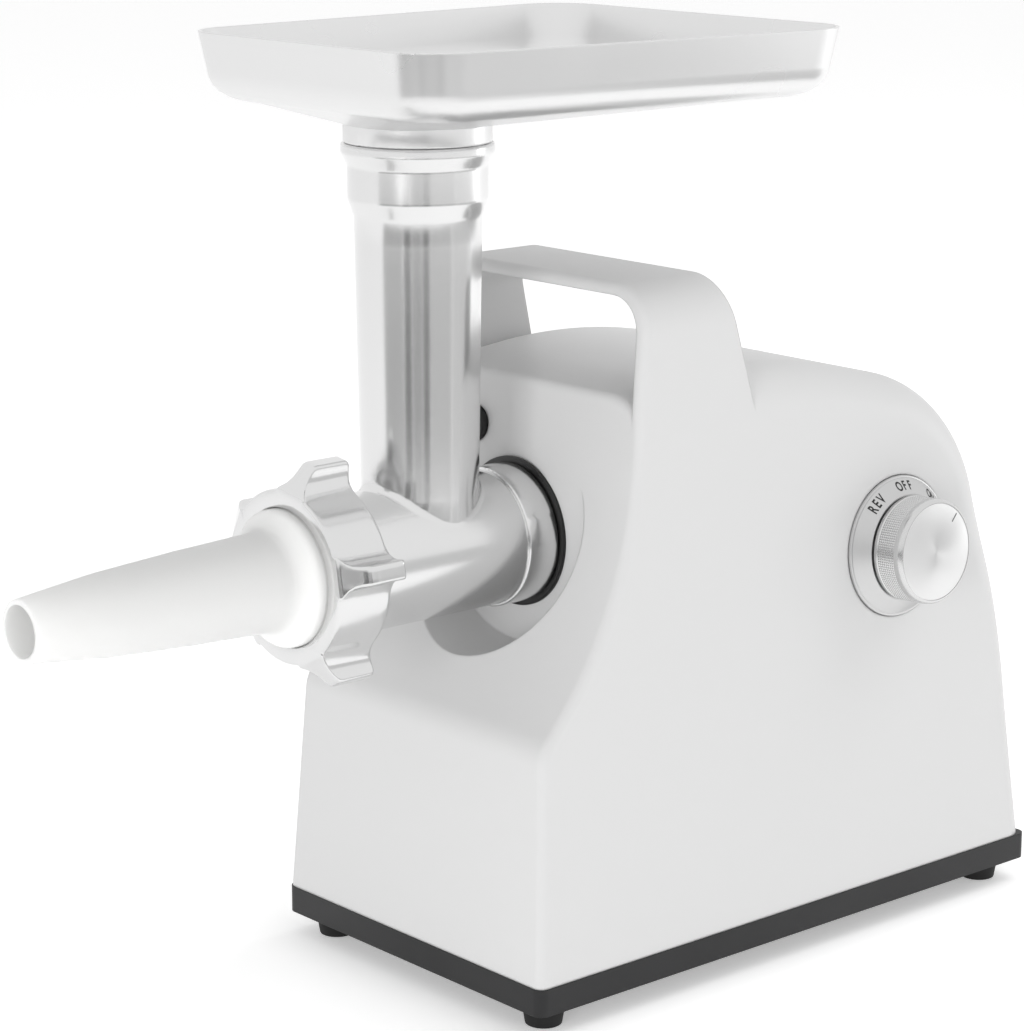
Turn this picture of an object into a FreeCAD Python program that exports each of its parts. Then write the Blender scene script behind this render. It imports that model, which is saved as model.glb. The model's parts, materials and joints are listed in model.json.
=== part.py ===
import FreeCAD, Part
import math
import os
import Sketcher

# Electric meat grinder, standing on its feet on the plane z = 0.
# The stuffing tube points towards -Y, the switch knob towards +X, and x = 0 is the middle plane.
# All sizes are millimetres and degrees.

SIZES = {
    # Base plate and feet
    "base_length": 290.0,
    "base_width": 162.5,
    "base_height": 11.3,
    "base_corner": 4.5,
    "base_floor": 3.0,
    "base_rim": 3.0,
    "foot_height": 9.5,
    "foot_radius": 8.2,
    "foot_inset": 15.0,
    "foot_taper": 0.8,
    "foot_edge": 0.5,
    "foot_stem_radius": 3.0,
    "vent_length": 46.0,
    "vent_width": 4.0,
    "vent_pitch": 10.0,
    "vent_count": 7,
    "post_radius": 9.0,
    "post_inset_x": 11.0,
    "post_inset_y": 47.0,
    "post_height": 34.0,
    # Housing shell: the outline of its side, then its taper, wall and roundings
    "shell_inset": 0.5,
    "draft": 3.2,
    "wall": 3.0,
    "rear_bend_y": 137.5,
    "rear_bend_z": 115.0,
    "rear_bend_radius": 400.0,
    "crest_y": 112.5,
    "crest_z": 224.0,
    "crest_radius": 75.0,
    "top_y": -5.0,
    "top_z": 253.0,
    "top_radius": 250.0,
    "lip_y": -81.5,
    "lip_z": 244.5,
    "waist_y": -91.0,
    "waist_z": 163.5,
    "waist_radius": 172.0,
    "knee_y": -139.2,
    "knee_z": 115.0,
    "knee_radius": 16.0,
    "shoulder_radius": 20.0,
    "corner_radius": 5.0,
    "edge_radius": 4.0,
    # Carrying handle
    "handle_z": 288.0,
    "handle_bend": 20.0,
    "handle_thickness": 5.0,
    "handle_rear_y": -34.0,
    "handle_root_y": -12.0,
    "handle_root_z": 205.0,
    # Clearances: parts that slide or plug together, shafts that run, pieces pressed or clamped
    "plug_gap": 0.3,
    "run_gap": 0.05,
    "seat_gap": 0.03,
    # Head seat in the housing: the scooped pocket, the socket and its bayonet
    "axis_z": 181.5,
    "pocket_radius": 46.0,
    "pocket_y": -87.0,
    "pocket_floor": 4.0,
    "socket_flange_radius": 30.8,
    "socket_flange": 1.6,
    "socket_radius": 29.2,
    "socket_floor": 4.0,
    "spigot_radius": 24.7,
    "lug_radius": 27.2,
    "lug_width": 12.0,
    "lug_thickness": 3.8,
    "lug_back": 5.0,
    "entry_turn": 45.0,
    # Lock button and its latch
    "lock_x": -27.5,
    "lock_z": 221.5,
    "lock_radius": 7.0,
    "spring_pad_rim": 1.0,
    "lock_proud": 3.0,
    "lock_travel": 2.5,
    "latch_thickness": 2.0,
    "latch_width": 8.0,
    "spring_wire": 0.5,
    "spring_turns": 4,
    # Dial, knob and rotary switch on the +X side
    "dial_y": 63.2,
    "dial_z": 164.3,
    "dial_radius": 30.0,
    "dial_recess": 1.0,
    "dial_proud": 1.2,
    "dial_edge": 0.6,
    "knob_radius": 22.5,
    "knob_top_radius": 21.3,
    "knob_height": 22.0,
    "knob_gap": 0.4,
    "knob_socket": 4.0,
    "knob_undercut": 3.0,
    "knob_ring": 2.0,
    "knob_step": 0.4,
    "knob_grip_drop": 0.8,
    "knob_band": 8.1,
    "knob_round": 1.0,
    "cap_radius": 20.4,
    "cap_thickness": 1.0,
    "cap_rim": 0.3,
    "cap_edge": 0.2,
    "cap_bevel": 0.4,
    "bush_radius": 4.5,
    "spindle_radius": 2.9,
    "switch_side": 30.0,
    "switch_depth": 17.0,
    "switch_nut_radius": 6.5,
    "switch_nut_height": 2.6,
    "switch_corner": 3.0,
    "bush_proud": 0.6,
    "terminal_width": 6.0,
    "terminal_thickness": 0.8,
    "terminal_length": 8.0,
    "terminal_pitch": 8.0,
    # Appliance inlet at the rear
    "inlet_z": 52.0,
    "inlet_flange_width": 50.0,
    "inlet_flange_height": 24.0,
    "inlet_flange": 2.5,
    "inlet_flange_corner": 4.0,
    "inlet_width": 27.0,
    "inlet_height": 19.0,
    "inlet_depth": 18.0,
    "inlet_cavity_width": 22.5,
    "inlet_cavity_height": 15.0,
    "inlet_cavity_depth": 14.0,
    "inlet_cavity_corner": 2.0,
    "inlet_screw_pitch": 40.0,
    "pin_width": 4.0,
    "pin_thickness": 2.0,
    "pin_pitch": 7.0,
    "pin_offset": 2.0,
    "pin_setback": 3.0,
    # Screws
    "screw_radius": 1.7,
    "screw_head_radius": 3.2,
    "screw_head": 2.2,
    "screw_side": 1.32,
    "screw_round": 0.8,
    # Gearbox, from its nose on the pocket floor to its rear cover
    "gearbox_front": -70.0,
    "gearbox_plate": 4.0,
    "gearbox_wall": 3.5,
    "gearbox_rear": -27.0,
    "cover_thickness": 4.0,
    "gearbox_half": 47.0,
    "gearbox_top": 229.0,
    "gearbox_bulge_x": 53.0,
    "gearbox_bulge_z": 140.0,
    "gearbox_foot_half": 34.0,
    "gearbox_foot_z": 66.0,
    "gearbox_corner": 20.0,
    "gearbox_crown": 43.0,
    "nose_radius": 38.0,
    # Gear train: output stage, second stage, first stage
    "output_module": 1.75,
    "output_teeth": 42,
    "output_pinion_teeth": 12,
    "output_width": 11.0,
    "output_angle": -65.0,
    "second_module": 1.25,
    "second_teeth": 42,
    "second_pinion_teeth": 12,
    "second_width": 8.0,
    "second_angle": -135.0,
    "first_module": 1.0,
    "first_teeth": 48,
    "motor_pinion_teeth": 12,
    "first_width": 6.0,
    "first_angle": -82.5,
    "gear_gap": 2.5,
    "tooth_share": 0.40,
    "axle_radius": 3.0,
    "hub_radius": 5.5,
    "output_shaft_radius": 10.0,
    "bush_wall": 3.0,
    "bush_length": 8.0,
    "drive_square": 9.0,
    "drive_depth": 12.0,
    # Motor
    "shaft_radius": 4.0,
    "shaft_clear": 2.0,
    "stator_width": 84.0,
    "stator_height": 70.0,
    "stator_corner": 8.0,
    "stator_bore": 22.4,
    "stator_window": 31.5,
    "stator_window_half": 17.0,
    "stator_length": 45.0,
    "stator_y": 8.0,
    "armature_radius": 21.7,
    "armature_slots": 12,
    "winding_radius": 18.5,
    "winding_length": 9.0,
    "commutator_radius": 11.0,
    "commutator_length": 14.0,
    "coil_width": 7.5,
    "coil_height": 10.0,
    "coil_end": 8.0,
    "fan_radius": 27.0,
    "blade_inset": 1.0,
    "fan_length": 9.0,
    "fan_blades": 9,
    "bearing_radius": 9.5,
    "bearing_width": 7.0,
    "bracket_thickness": 4.0,
    "bracket_arm": 9.0,
    "brush_width": 6.0,
    "brush_height": 8.0,
    "brush_length": 14.0,
    "holder_wall": 1.5,
    "holder_length": 20.0,
    "bolt_x": 37.0,
    "bolt_z": 24.0,
    "front_bracket_y": -19.0,
    "rear_bracket_y": 84.0,
    "bracket_height": 60.0,
    "rib_thickness": 5.0,
    "rib_half": 30.0,
    # Grinder head: barrel and feed tube
    "barrel_radius": 27.5,
    "collar_radius": 28.6,
    "collar_length": 15.0,
    "collar_gap": 0.4,
    "collar_edge": 0.5,
    "barrel_bore": 22.5,
    "barrel_front": -200.0,
    "thread_radius": 31.0,
    "thread_length": 17.0,
    "thread_edge": 0.6,
    "thread_runout": 2.0,
    "back_wall": 4.0,
    "spigot_bore": 20.0,
    "tube_y": -137.1,
    "tube_foot_radius": 23.0,
    "tube_radius": 24.9,
    "tube_bore": 20.6,
    "tube_top": 314.7,
    "collar_z": 322.0,
    "tube_collar_radius": 27.3,
    "lip_radius": 29.8,
    "lip_low": 335.0,
    "lip_top": 343.7,
    "tube_collar_round": 4.0,
    "lip_neck_round": 3.0,
    "lip_flare": 5.0,
    "lip_low_round": 1.5,
    "lip_top_round": 1.2,
    "tray_seat_bore": 24.6,
    "tray_seat_depth": 16.0,
    "tube_fillet": 4.0,
    "overrun": 1.0,
    # Auger, thrust washer and front spacer
    "auger_radius": 22.0,
    "auger_root": 9.0,
    "auger_pitch": 24.0,
    "flight_thickness": 4.0,
    "flight_margin": 1.0,
    "flight_sink": 1.0,
    "auger_front": -193.5,
    "auger_pin_radius": 5.0,
    "auger_journal": 8.0,
    "washer_radius": 15.0,
    "washer_thickness": 2.0,
    "spacer_radius": 26.0,
    "spacer_thickness": 6.0,
    "spacer_hub": 9.0,
    "spacer_spoke": 5.0,
    "spacer_lip": 1.0,
    "spoke_trim": 1.0,
    "spoke_sink": 1.5,
    # Ring nut and stuffing tube
    "nut_front": -205.0,
    "nut_length": 25.0,
    "nut_radius": 34.3,
    "nut_rear_radius": 35.2,
    "nut_opening": 27.6,
    "nut_lip": 2.4,
    "nut_lugs": 5,
    "lug_reach": 45.0,
    "lug_flare": 13.5,
    "lug_flank_half": 5.5,
    "lug_flank_radius": 37.0,
    "lug_flank_round": 12.0,
    "lug_tip_half": 3.8,
    "lug_tip_round": 3.0,
    "lug_first_angle": 10.0,
    "lug_front_reach": 34.9,
    "lug_slope": 8.0,
    "lug_rear_gap": 0.8,
    "horn_flange_radius": 30.6,
    "horn_flange": 2.6,
    "horn_boss_radius": 27.0,
    "horn_boss": 6.0,
    "horn_root_radius": 18.6,
    "horn_tip_radius": 11.9,
    "horn_tip_y": -323.5,
    "horn_wall": 2.0,
    "horn_boss_round": 4.0,
    "horn_root_flare": 1.0,
    "horn_root_run": 6.0,
    "horn_root_round": 5.0,
    "horn_inner_run": 5.0,
    "horn_body_radius": 18.0,
    "horn_body_at": 53.0,
    "horn_body_round": 200.0,
    "horn_middle_radius": 15.8,
    "horn_middle_at": 89.0,
    "horn_middle_round": 150.0,
    "horn_tip_round": 0.6,
    # Hopper tray
    "tray_z": 384.8,
    "tray_front_half": 74.5,
    "tray_rear_half": 90.0,
    "tray_front": -196.0,
    "tray_rear": 17.0,
    "tray_corner": 22.0,
    "tray_side_z": 370.0,
    "tray_side_inset": 2.5,
    "tray_floor_z": 358.0,
    "tray_floor_inset": 15.0,
    "tray_bend_steps": 6,
    "tray_neck_z": 351.0,
    "tray_neck_radius": 28.9,
    "tray_sheet": 1.4,
    "tray_spigot_radius": 24.2,
    "tray_spigot": 14.0,
}

doc = FreeCAD.newDocument("meat_grinder")
sheet = doc.addObject("Spreadsheet::Sheet", "dims")
for row, (alias, number) in enumerate(SIZES.items(), start=1):
    sheet.set(f"A{row}", alias)
    sheet.set(f"B{row}", str(number))
    sheet.setAlias(f"B{row}", alias)
doc.recompute()


class Dim:
    """A size that keeps its number and the sheet expression that gives it."""

    def __init__(self, number, text=None):
        self.number = float(number)
        self.text = text if text is not None else repr(float(number))

    def _join(self, other, sign, number):
        return Dim(number, f"({self.text} {sign} {as_dim(other).text})")

    def __add__(self, other):
        return self._join(other, "+", self.number + as_dim(other).number)

    def __sub__(self, other):
        return self._join(other, "-", self.number - as_dim(other).number)

    def __mul__(self, other):
        return self._join(other, "*", self.number * as_dim(other).number)

    def __truediv__(self, other):
        return self._join(other, "/", self.number / as_dim(other).number)

    def __radd__(self, other):
        return as_dim(other) + self

    def __rsub__(self, other):
        return as_dim(other) - self

    def __rmul__(self, other):
        return as_dim(other) * self

    def __neg__(self):
        return Dim(-self.number, f"(-{self.text})")


def as_dim(value):
    return value if isinstance(value, Dim) else Dim(value)


def trig(name, angle):
    """Sine, cosine or tangent of an angle in degrees."""
    given = as_dim(angle)
    return Dim(getattr(math, name)(math.radians(given.number)), f"{name}({given.text} * 1 deg)")


class Sizes:
    """Every cell of the sheet as a named size."""

    def __getattr__(self, alias):
        return Dim(SIZES[alias], f"dims.{alias}")


d = Sizes()
VX, VY, VZ = FreeCAD.Vector(1, 0, 0), FreeCAD.Vector(0, 1, 0), FreeCAD.Vector(0, 0, 1)
# Turns that stand a piece's own Z axis along a direction of the grinder.
ALONG = {
    "+Z": FreeCAD.Rotation(),
    "+Y": FreeCAD.Rotation(VX, -90),
    "-Y": FreeCAD.Rotation(VX, 90),
    "+X": FreeCAD.Rotation(VY, 90),
    "-X": FreeCAD.Rotation(VY, -90),
}


def bind(obj, **properties):
    """Tie properties of an object to sizes."""
    for name, value in properties.items():
        obj.setExpression(name.replace("__", "."), as_dim(value).text)
    return obj


def place(obj, at=(0, 0, 0), turn="+Z"):
    """Stand an object at a point, with its own Z axis along a direction."""
    rotation = ALONG[turn] if isinstance(turn, str) else turn
    start = FreeCAD.Vector(*[as_dim(value).number for value in at])
    obj.Placement = FreeCAD.Placement(start, rotation)
    for axis, value in zip("xyz", at):
        obj.setExpression(f"Placement.Base.{axis}", as_dim(value).text)
    return obj


def corner_arc(before, corner, after, radius):
    """Centre and touching points of a rounding at a corner of an outline."""
    one = (before - corner).normalize()
    two = (after - corner).normalize()
    half = one.getAngle(two) / 2
    reach = radius / math.tan(half)
    centre = corner + (one + two).normalize() * (radius / math.sin(half))
    return centre, corner + one * reach, corner + two * reach


def draw(sketch, outline):
    """Draw one closed outline whose corners (x, y) or (x, y, rounding) are tied to sizes."""
    corners = [tuple(as_dim(value) for value in corner) for corner in outline]
    points = [FreeCAD.Vector(c[0].number, c[1].number, 0) for c in corners]
    count = len(points)
    rounds = {}
    for i, corner in enumerate(corners):
        if len(corner) == 3 and corner[2].number > 0:
            rounds[i] = corner_arc(points[i - 1], points[i], points[(i + 1) % count], corner[2].number)
    sides = []
    for i in range(count):
        j = (i + 1) % count
        start = rounds[i][2] if i in rounds else points[i]
        end = rounds[j][1] if j in rounds else points[j]
        sides.append(sketch.addGeometry(Part.LineSegment(start, end), False))

    def tie(geometry, position, corner):
        for kind, value in zip(("DistanceX", "DistanceY"), corner):
            index = sketch.addConstraint(
                Sketcher.Constraint(kind, -1, 1, geometry, position, value.number))
            sketch.setExpression(f"Constraints[{index}]", value.text)

    for i, corner in enumerate(corners):
        before, after = sides[i - 1], sides[i]
        if i not in rounds:
            sketch.addConstraint(Sketcher.Constraint("Coincident", before, 2, after, 1))
            tie(after, 1, corner)
            continue
        centre, touch_one, touch_two = rounds[i]
        radius = corner[2]
        first = math.atan2(touch_one.y - centre.y, touch_one.x - centre.x)
        last = math.atan2(touch_two.y - centre.y, touch_two.x - centre.x)
        left_turn = (points[i] - points[i - 1]).cross(points[(i + 1) % count] - points[i]).z > 0
        if not left_turn:
            first, last = last, first
        circle = Part.Circle(centre, VZ, radius.number)
        arc = sketch.addGeometry(Part.ArcOfCircle(circle, first, last), False)
        mark = sketch.addGeometry(Part.Point(points[i]), True)
        start, end = (1, 2) if left_turn else (2, 1)
        sketch.addConstraint(Sketcher.Constraint("Tangent", before, 2, arc, start))
        sketch.addConstraint(Sketcher.Constraint("Tangent", after, 1, arc, end))
        sketch.addConstraint(Sketcher.Constraint("PointOnObject", mark, 1, before))
        sketch.addConstraint(Sketcher.Constraint("PointOnObject", mark, 1, after))
        tie(mark, 1, corner)
        index = sketch.addConstraint(Sketcher.Constraint("Radius", arc, radius.number))
        sketch.setExpression(f"Constraints[{index}]", radius.text)


def ring(sketch, x, y, radius):
    """Draw one circle tied to sizes."""
    x, y, radius = as_dim(x), as_dim(y), as_dim(radius)
    circle = Part.Circle(FreeCAD.Vector(x.number, y.number, 0), VZ, radius.number)
    geometry = sketch.addGeometry(circle, False)
    for kind, value in (("DistanceX", x), ("DistanceY", y)):
        index = sketch.addConstraint(Sketcher.Constraint(kind, -1, 1, geometry, 3, value.number))
        sketch.setExpression(f"Constraints[{index}]", value.text)
    index = sketch.addConstraint(Sketcher.Constraint("Radius", geometry, radius.number))
    sketch.setExpression(f"Constraints[{index}]", radius.text)


def new_body(name):
    return doc.addObject("PartDesign::Body", name)


def new_sketch(body, plane="XY", height=0):
    """A sketch on one of its body's own planes, raised along that plane's normal."""
    sketch = body.newObject("Sketcher::SketchObject", f"{body.Name}_outline")
    support = [feature for feature in body.Origin.OriginFeatures if feature.Role == f"{plane}_Plane"][0]
    sketch.AttachmentSupport = (support, "")
    sketch.MapMode = "FlatFace"
    sketch.setExpression("AttachmentOffset.Base.z", as_dim(height).text)
    return sketch


def add_pad(body, outlines, length, rings=(), plane="XY", height=0, both_ways=False):
    sketch = new_sketch(body, plane, height)
    for outline in outlines:
        draw(sketch, outline)
    for circle in rings:
        ring(sketch, *circle)
    pad = body.newObject("PartDesign::Pad", f"{body.Name}_pad")
    pad.Profile = sketch
    pad.Midplane = both_ways
    bind(pad, Length=length)
    return pad


def add_pocket(body, outlines, length, rings=(), plane="XY", height=0, upwards=False, both_ways=False):
    sketch = new_sketch(body, plane, height)
    for outline in outlines:
        draw(sketch, outline)
    for circle in rings:
        ring(sketch, *circle)
    doc.recompute()
    pocket = body.newObject("PartDesign::Pocket", f"{body.Name}_pocket")
    pocket.Profile = sketch
    pocket.Reversed = upwards
    pocket.Midplane = both_ways
    bind(pocket, Length=length)
    return pocket


def padded(name, outlines, length, rings=(), at=(0, 0, 0), turn="+Z"):
    """A plate or block: one outline pushed along its own Z axis."""
    body = new_body(name)
    add_pad(body, outlines, length, rings)
    return place(body, at, turn)


def turned(name, profile, at=(0, 0, 0), turn="+Z"):
    """A round piece: a half section (radius, height) spun about its own Z axis."""
    body = new_body(name)
    sketch = new_sketch(body, "XZ")
    draw(sketch, profile)
    spin = body.newObject("PartDesign::Revolution", f"{name}_spin")
    spin.Profile = sketch
    spin.ReferenceAxis = (sketch, ["V_Axis"])
    spin.Angle = 360.0
    return place(body, at, turn)


def rectangle(half_x, half_y, corner=0, x=0, y=0):
    """Corners of a rectangle about a point."""
    return [
        (x - half_x, y - half_y, corner), (x + half_x, y - half_y, corner),
        (x + half_x, y + half_y, corner), (x - half_x, y + half_y, corner),
    ]


def box(name, low, size):
    obj = doc.addObject("Part::Box", name)
    bind(obj, Length=size[0], Width=size[1], Height=size[2])
    return place(obj, low)


def rod(name, radius, length, at=(0, 0, 0), turn="+Z"):
    obj = doc.addObject("Part::Cylinder", name)
    bind(obj, Radius=radius, Height=length)
    return place(obj, at, turn)


def fuse(name, *shapes):
    obj = doc.addObject("Part::MultiFuse", name)
    obj.Shapes = list(shapes)
    obj.Refine = True
    return obj


def common(name, *shapes):
    obj = doc.addObject("Part::MultiCommon", name)
    obj.Shapes = list(shapes)
    return obj


def cut(name, base, *tools):
    obj = doc.addObject("Part::Cut", name)
    obj.Base = base
    obj.Tool = tools[0] if len(tools) == 1 else fuse(f"{name}_tools", *tools)
    return obj


def group(name, *shapes):
    obj = doc.addObject("Part::Compound", name)
    obj.Links = list(shapes)
    return obj


def rounded_edges(name, base, radii):
    """Round the edges of a solid that a test picks; radii gives (test, start radius, end radius)."""
    doc.recompute()
    chosen = []
    for index, edge in enumerate(base.Shape.Edges, start=1):
        for test, start, end in radii:
            if test(edge):
                chosen.append((index, as_dim(start).number, as_dim(end).number))
                break
    obj = doc.addObject("Part::Fillet", name)
    obj.Base = base
    obj.Edges = chosen
    return obj


NODES = []


def finished(obj, label):
    """Name a finished piece; its label names its file."""
    obj.Label = label
    NODES.append(obj)
    return obj


# Housing shell: one moulding with its handle, open underneath.
# Its side outline is pushed across the width and met with a tapered front outline.
base_bottom = d.foot_height
base_top = d.foot_height + d.base_height
shell_foot = d.base_length / 2 - d.shell_inset
shell_half = d.base_width / 2 - d.shell_inset
slope = trig("tan", d.draft)


def half_width(z):
    """Half of the shell's outer width at a height."""
    return shell_half - slope * (z - base_top)


def side_outline(inset):
    """The shell's outline in side view, moved inwards all round by a wall."""
    bottom = base_top - inset
    return [
        (shell_foot - inset, bottom),
        (d.rear_bend_y - inset, d.rear_bend_z, d.rear_bend_radius),
        (d.crest_y - inset, d.crest_z - inset, d.crest_radius - inset),
        (d.top_y, d.top_z - inset, d.top_radius),
        (d.lip_y + inset, d.lip_z - inset),
        (d.waist_y + inset, d.waist_z - inset, d.waist_radius),
        (d.knee_y + inset, d.knee_z - inset, d.knee_radius),
        (inset - shell_foot, bottom),
    ]


def front_outline(inset, top):
    """The shell's tapered outline in front view, up to a height."""
    foot = half_width(base_top - inset) - inset
    head = half_width(top) - inset
    return [(-foot, base_top - inset), (foot, base_top - inset), (head, top), (-head, top)]


def loaf(name, inset):
    """The shell's form, or its hollow when an inset is given."""
    side = new_body(f"{name}_side")
    add_pad(side, [side_outline(inset)], d.base_width, plane="YZ", both_ways=True)
    front = new_body(f"{name}_front")
    add_pad(front, [front_outline(inset, d.handle_z)], 1.2 * d.base_length, plane="XZ", both_ways=True)
    return common(f"{name}_blank", side, front)


def middle_of(edge):
    return edge.valueAt((edge.FirstParameter + edge.LastParameter) / 2)


def rounded_loaf(name, blank, inset):
    """Round the shoulders: full on top, shrinking down the rear corners to the foot."""
    doc.recompute()
    low, high = base_top.number, d.crest_z.number
    small, full = d.corner_radius.number, d.shoulder_radius.number - inset.number

    def radius_at(point):
        share = min(max((point.z - low) / (high - low), 0.0), 1.0)
        return small + (full - small) * share if point.y > d.top_y.number else full

    chosen = []
    for index, edge in enumerate(blank.Shape.Edges, start=1):
        width = half_width(as_dim(middle_of(edge).z)).number - inset.number
        if abs(abs(middle_of(edge).x) - width) > 0.3 or edge.BoundBox.ZLength < 1:
            continue
        if middle_of(edge).y < (d.lip_y + inset).number:
            continue
        ends = [edge.valueAt(edge.FirstParameter), edge.valueAt(edge.LastParameter)]
        if edge.Orientation == "Reversed":
            ends.reverse()
        chosen.append((index, radius_at(ends[0]), radius_at(ends[1])))
    obj = doc.addObject("Part::Fillet", f"{name}_shoulders")
    obj.Base = blank
    obj.Edges = chosen
    return obj


def front_rim(edge):
    """The rim of the front: both side edges, the shoulders' ends and the lip."""
    middle = middle_of(edge)
    across = edge.BoundBox.XLength > d.base_width.number / 2 and middle.z < d.lip_z.number - 1
    return middle.y < d.lip_y.number + 1 and middle.z > base_top.number + 1 and not across


outer_blank = loaf("shell", as_dim(0))
outer_round = rounded_loaf("shell", outer_blank, as_dim(0))
outer_form = rounded_edges("shell_front_rim", outer_round, [(front_rim, d.edge_radius, d.edge_radius)])
hollow_blank = loaf("hollow", d.wall)
hollow_form = rounded_loaf("hollow", hollow_blank, d.wall)

# Carrying handle: a flat strap bent over the top, flush with the shell's sides and front.
handle_head = half_width(d.handle_z)
handle_inner = d.handle_bend - d.handle_thickness
front_lean = (d.lip_y - d.waist_y) / (d.lip_z - d.waist_z)


def front_wall_y(z):
    """Where the upper front wall's plane stands at a height."""
    return d.lip_y + front_lean * (z - d.lip_z)


handle_side = new_body("handle_side")
add_pad(handle_side, [[
    (front_wall_y(d.handle_root_z), d.handle_root_z),
    (d.handle_root_y, d.handle_root_z),
    (d.handle_rear_y, d.handle_z),
    (front_wall_y(d.handle_z), d.handle_z),
]], d.base_width, plane="YZ", both_ways=True)
root_half = half_width(d.handle_root_z)
handle_front = new_body("handle_front")
add_pad(handle_front, [[
    (-root_half, d.handle_root_z),
    (-handle_head, d.handle_z, d.handle_bend),
    (handle_head, d.handle_z, d.handle_bend),
    (root_half, d.handle_root_z),
    (root_half - d.handle_thickness, d.handle_root_z),
    (handle_head - d.handle_thickness, d.handle_z - d.handle_thickness, handle_inner),
    (d.handle_thickness - handle_head, d.handle_z - d.handle_thickness, handle_inner),
    (d.handle_thickness - root_half, d.handle_root_z),
]], d.base_length, plane="XZ", both_ways=True)
handle_blank = common("handle_blank", handle_side, handle_front)


def handle_front_rim(edge):
    """Outer front edge of the strap, which carries on the rim of the shell's front."""
    middle = middle_of(edge)
    off_wall = abs(middle.y - front_wall_y(as_dim(middle.z)).number)
    if off_wall > 0.1 or edge.Length < 2 * d.handle_thickness.number:
        return False
    bend_x, bend_z = (handle_head - d.handle_bend).number, (d.handle_z - d.handle_bend).number
    if middle.z < bend_z:
        return abs(middle.x) > half_width(as_dim(middle.z)).number - 0.1
    across = max(abs(middle.x) - bend_x, 0.0)
    return math.hypot(across, middle.z - bend_z) > d.handle_bend.number - 1


handle_form = rounded_edges("handle_form", handle_blank, [(handle_front_rim, d.edge_radius, d.edge_radius)])

# Cut-outs of the shell: the scooped pocket for the head with its floor, the socket hole,
# the lock button hole, the dial recess, the switch hole and the inlet opening.
pocket_rear = d.pocket_y + d.pocket_floor
nose_length = d.gearbox_front - pocket_rear
shell_closed = fuse("shell_closed", outer_form, handle_form)
shell_hollow = cut("shell_hollow", shell_closed, hollow_form)
pocket_cup = common("pocket_cup", outer_form, rod(
    "pocket_cup_rod", d.pocket_radius + d.wall, d.base_length, (0, pocket_rear, d.axis_z), "-Y"))
post_x = d.base_width / 2 - d.post_inset_x
post_y = d.base_length / 2 - d.post_inset_y
post_places = [(sx * post_x, sy * post_y) for sx in (-1, 1) for sy in (-1, 1)]
posts = [rod(f"post_{i}", d.post_radius, d.post_height, (x, y, base_top))
         for i, (x, y) in enumerate(post_places)]
shell_walls = fuse("shell_walls", shell_hollow, pocket_cup,
                   common("posts_inside", fuse("posts", *posts), outer_form))
dial_turn = FreeCAD.Rotation(VY, 90 - d.draft.number)


def on_dial(depth=0):
    """A point on the dial's axis, at a height above the shell's side."""
    lean_x, lean_z = trig("cos", d.draft), trig("sin", d.draft)
    return (half_width(d.dial_z) + lean_x * depth, d.dial_y, d.dial_z + lean_z * depth)


rear_lean = math.degrees(math.atan2((shell_foot - d.rear_bend_y).number, (d.rear_bend_z - base_top).number))
inlet_turn = FreeCAD.Rotation(VX, rear_lean - 90)
rear_slope = (shell_foot - d.rear_bend_y) / (d.rear_bend_z - base_top)


def on_rear(z):
    """A point on the middle of the lower rear wall at a height."""
    return (0, shell_foot - rear_slope * (z - base_top), z)


inlet_hole = padded(
    "inlet_hole", [rectangle(d.inlet_width / 2 + d.plug_gap, d.inlet_height / 2 + d.plug_gap)], 12 * d.wall,
    at=on_rear(d.inlet_z), turn=inlet_turn)
inlet_hole.Tip.Midplane = True
housing = cut(
    "housing_open", shell_walls,
    rod("pocket_scoop", d.pocket_radius, d.base_length, (0, d.pocket_y, d.axis_z), "-Y"),
    rod("socket_hole", d.socket_radius + d.plug_gap, d.base_length / 2, (0, 0, d.axis_z), "-Y"),
    rod("nose_seat", d.nose_radius + d.plug_gap, nose_length, (0, pocket_rear, d.axis_z), "+Y"),
    rod("lock_hole", d.lock_radius + d.plug_gap, d.base_length / 2, (d.lock_x, 0, d.lock_z), "-Y"),
    rod("dial_seat", d.dial_radius + d.plug_gap, 6 * d.wall, on_dial(-d.dial_recess), dial_turn),
    rod("switch_hole", d.bush_radius + d.plug_gap, 12 * d.wall, on_dial(-6 * d.wall), dial_turn),
    inlet_hole,
)

# Base plate: a shallow charcoal tray with vent slots, screw bosses and two saddle ribs for the motor.
half_base_x, half_base_y = d.base_width / 2, d.base_length / 2


output_x, output_z = as_dim(0), d.axis_z


def gear_step(module, wheel, pinion, angle):
    """The way from a wheel's axis to the axis of the pinion that it meshes with."""
    distance = module * (wheel + pinion) / 2
    return distance * trig("cos", angle), distance * trig("sin", angle)


step = gear_step(d.output_module, d.output_teeth, d.output_pinion_teeth, d.output_angle)
second_x, second_z = output_x + step[0], output_z + step[1]
step = gear_step(d.second_module, d.second_teeth, d.second_pinion_teeth, d.second_angle)
first_x, first_z = second_x + step[0], second_z + step[1]
step = gear_step(d.first_module, d.first_teeth, d.motor_pinion_teeth, d.first_angle)
motor_x, motor_z = first_x + step[0], first_z + step[1]
stator_end = d.stator_y + d.stator_length
base_inside = base_bottom + d.base_floor

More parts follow.
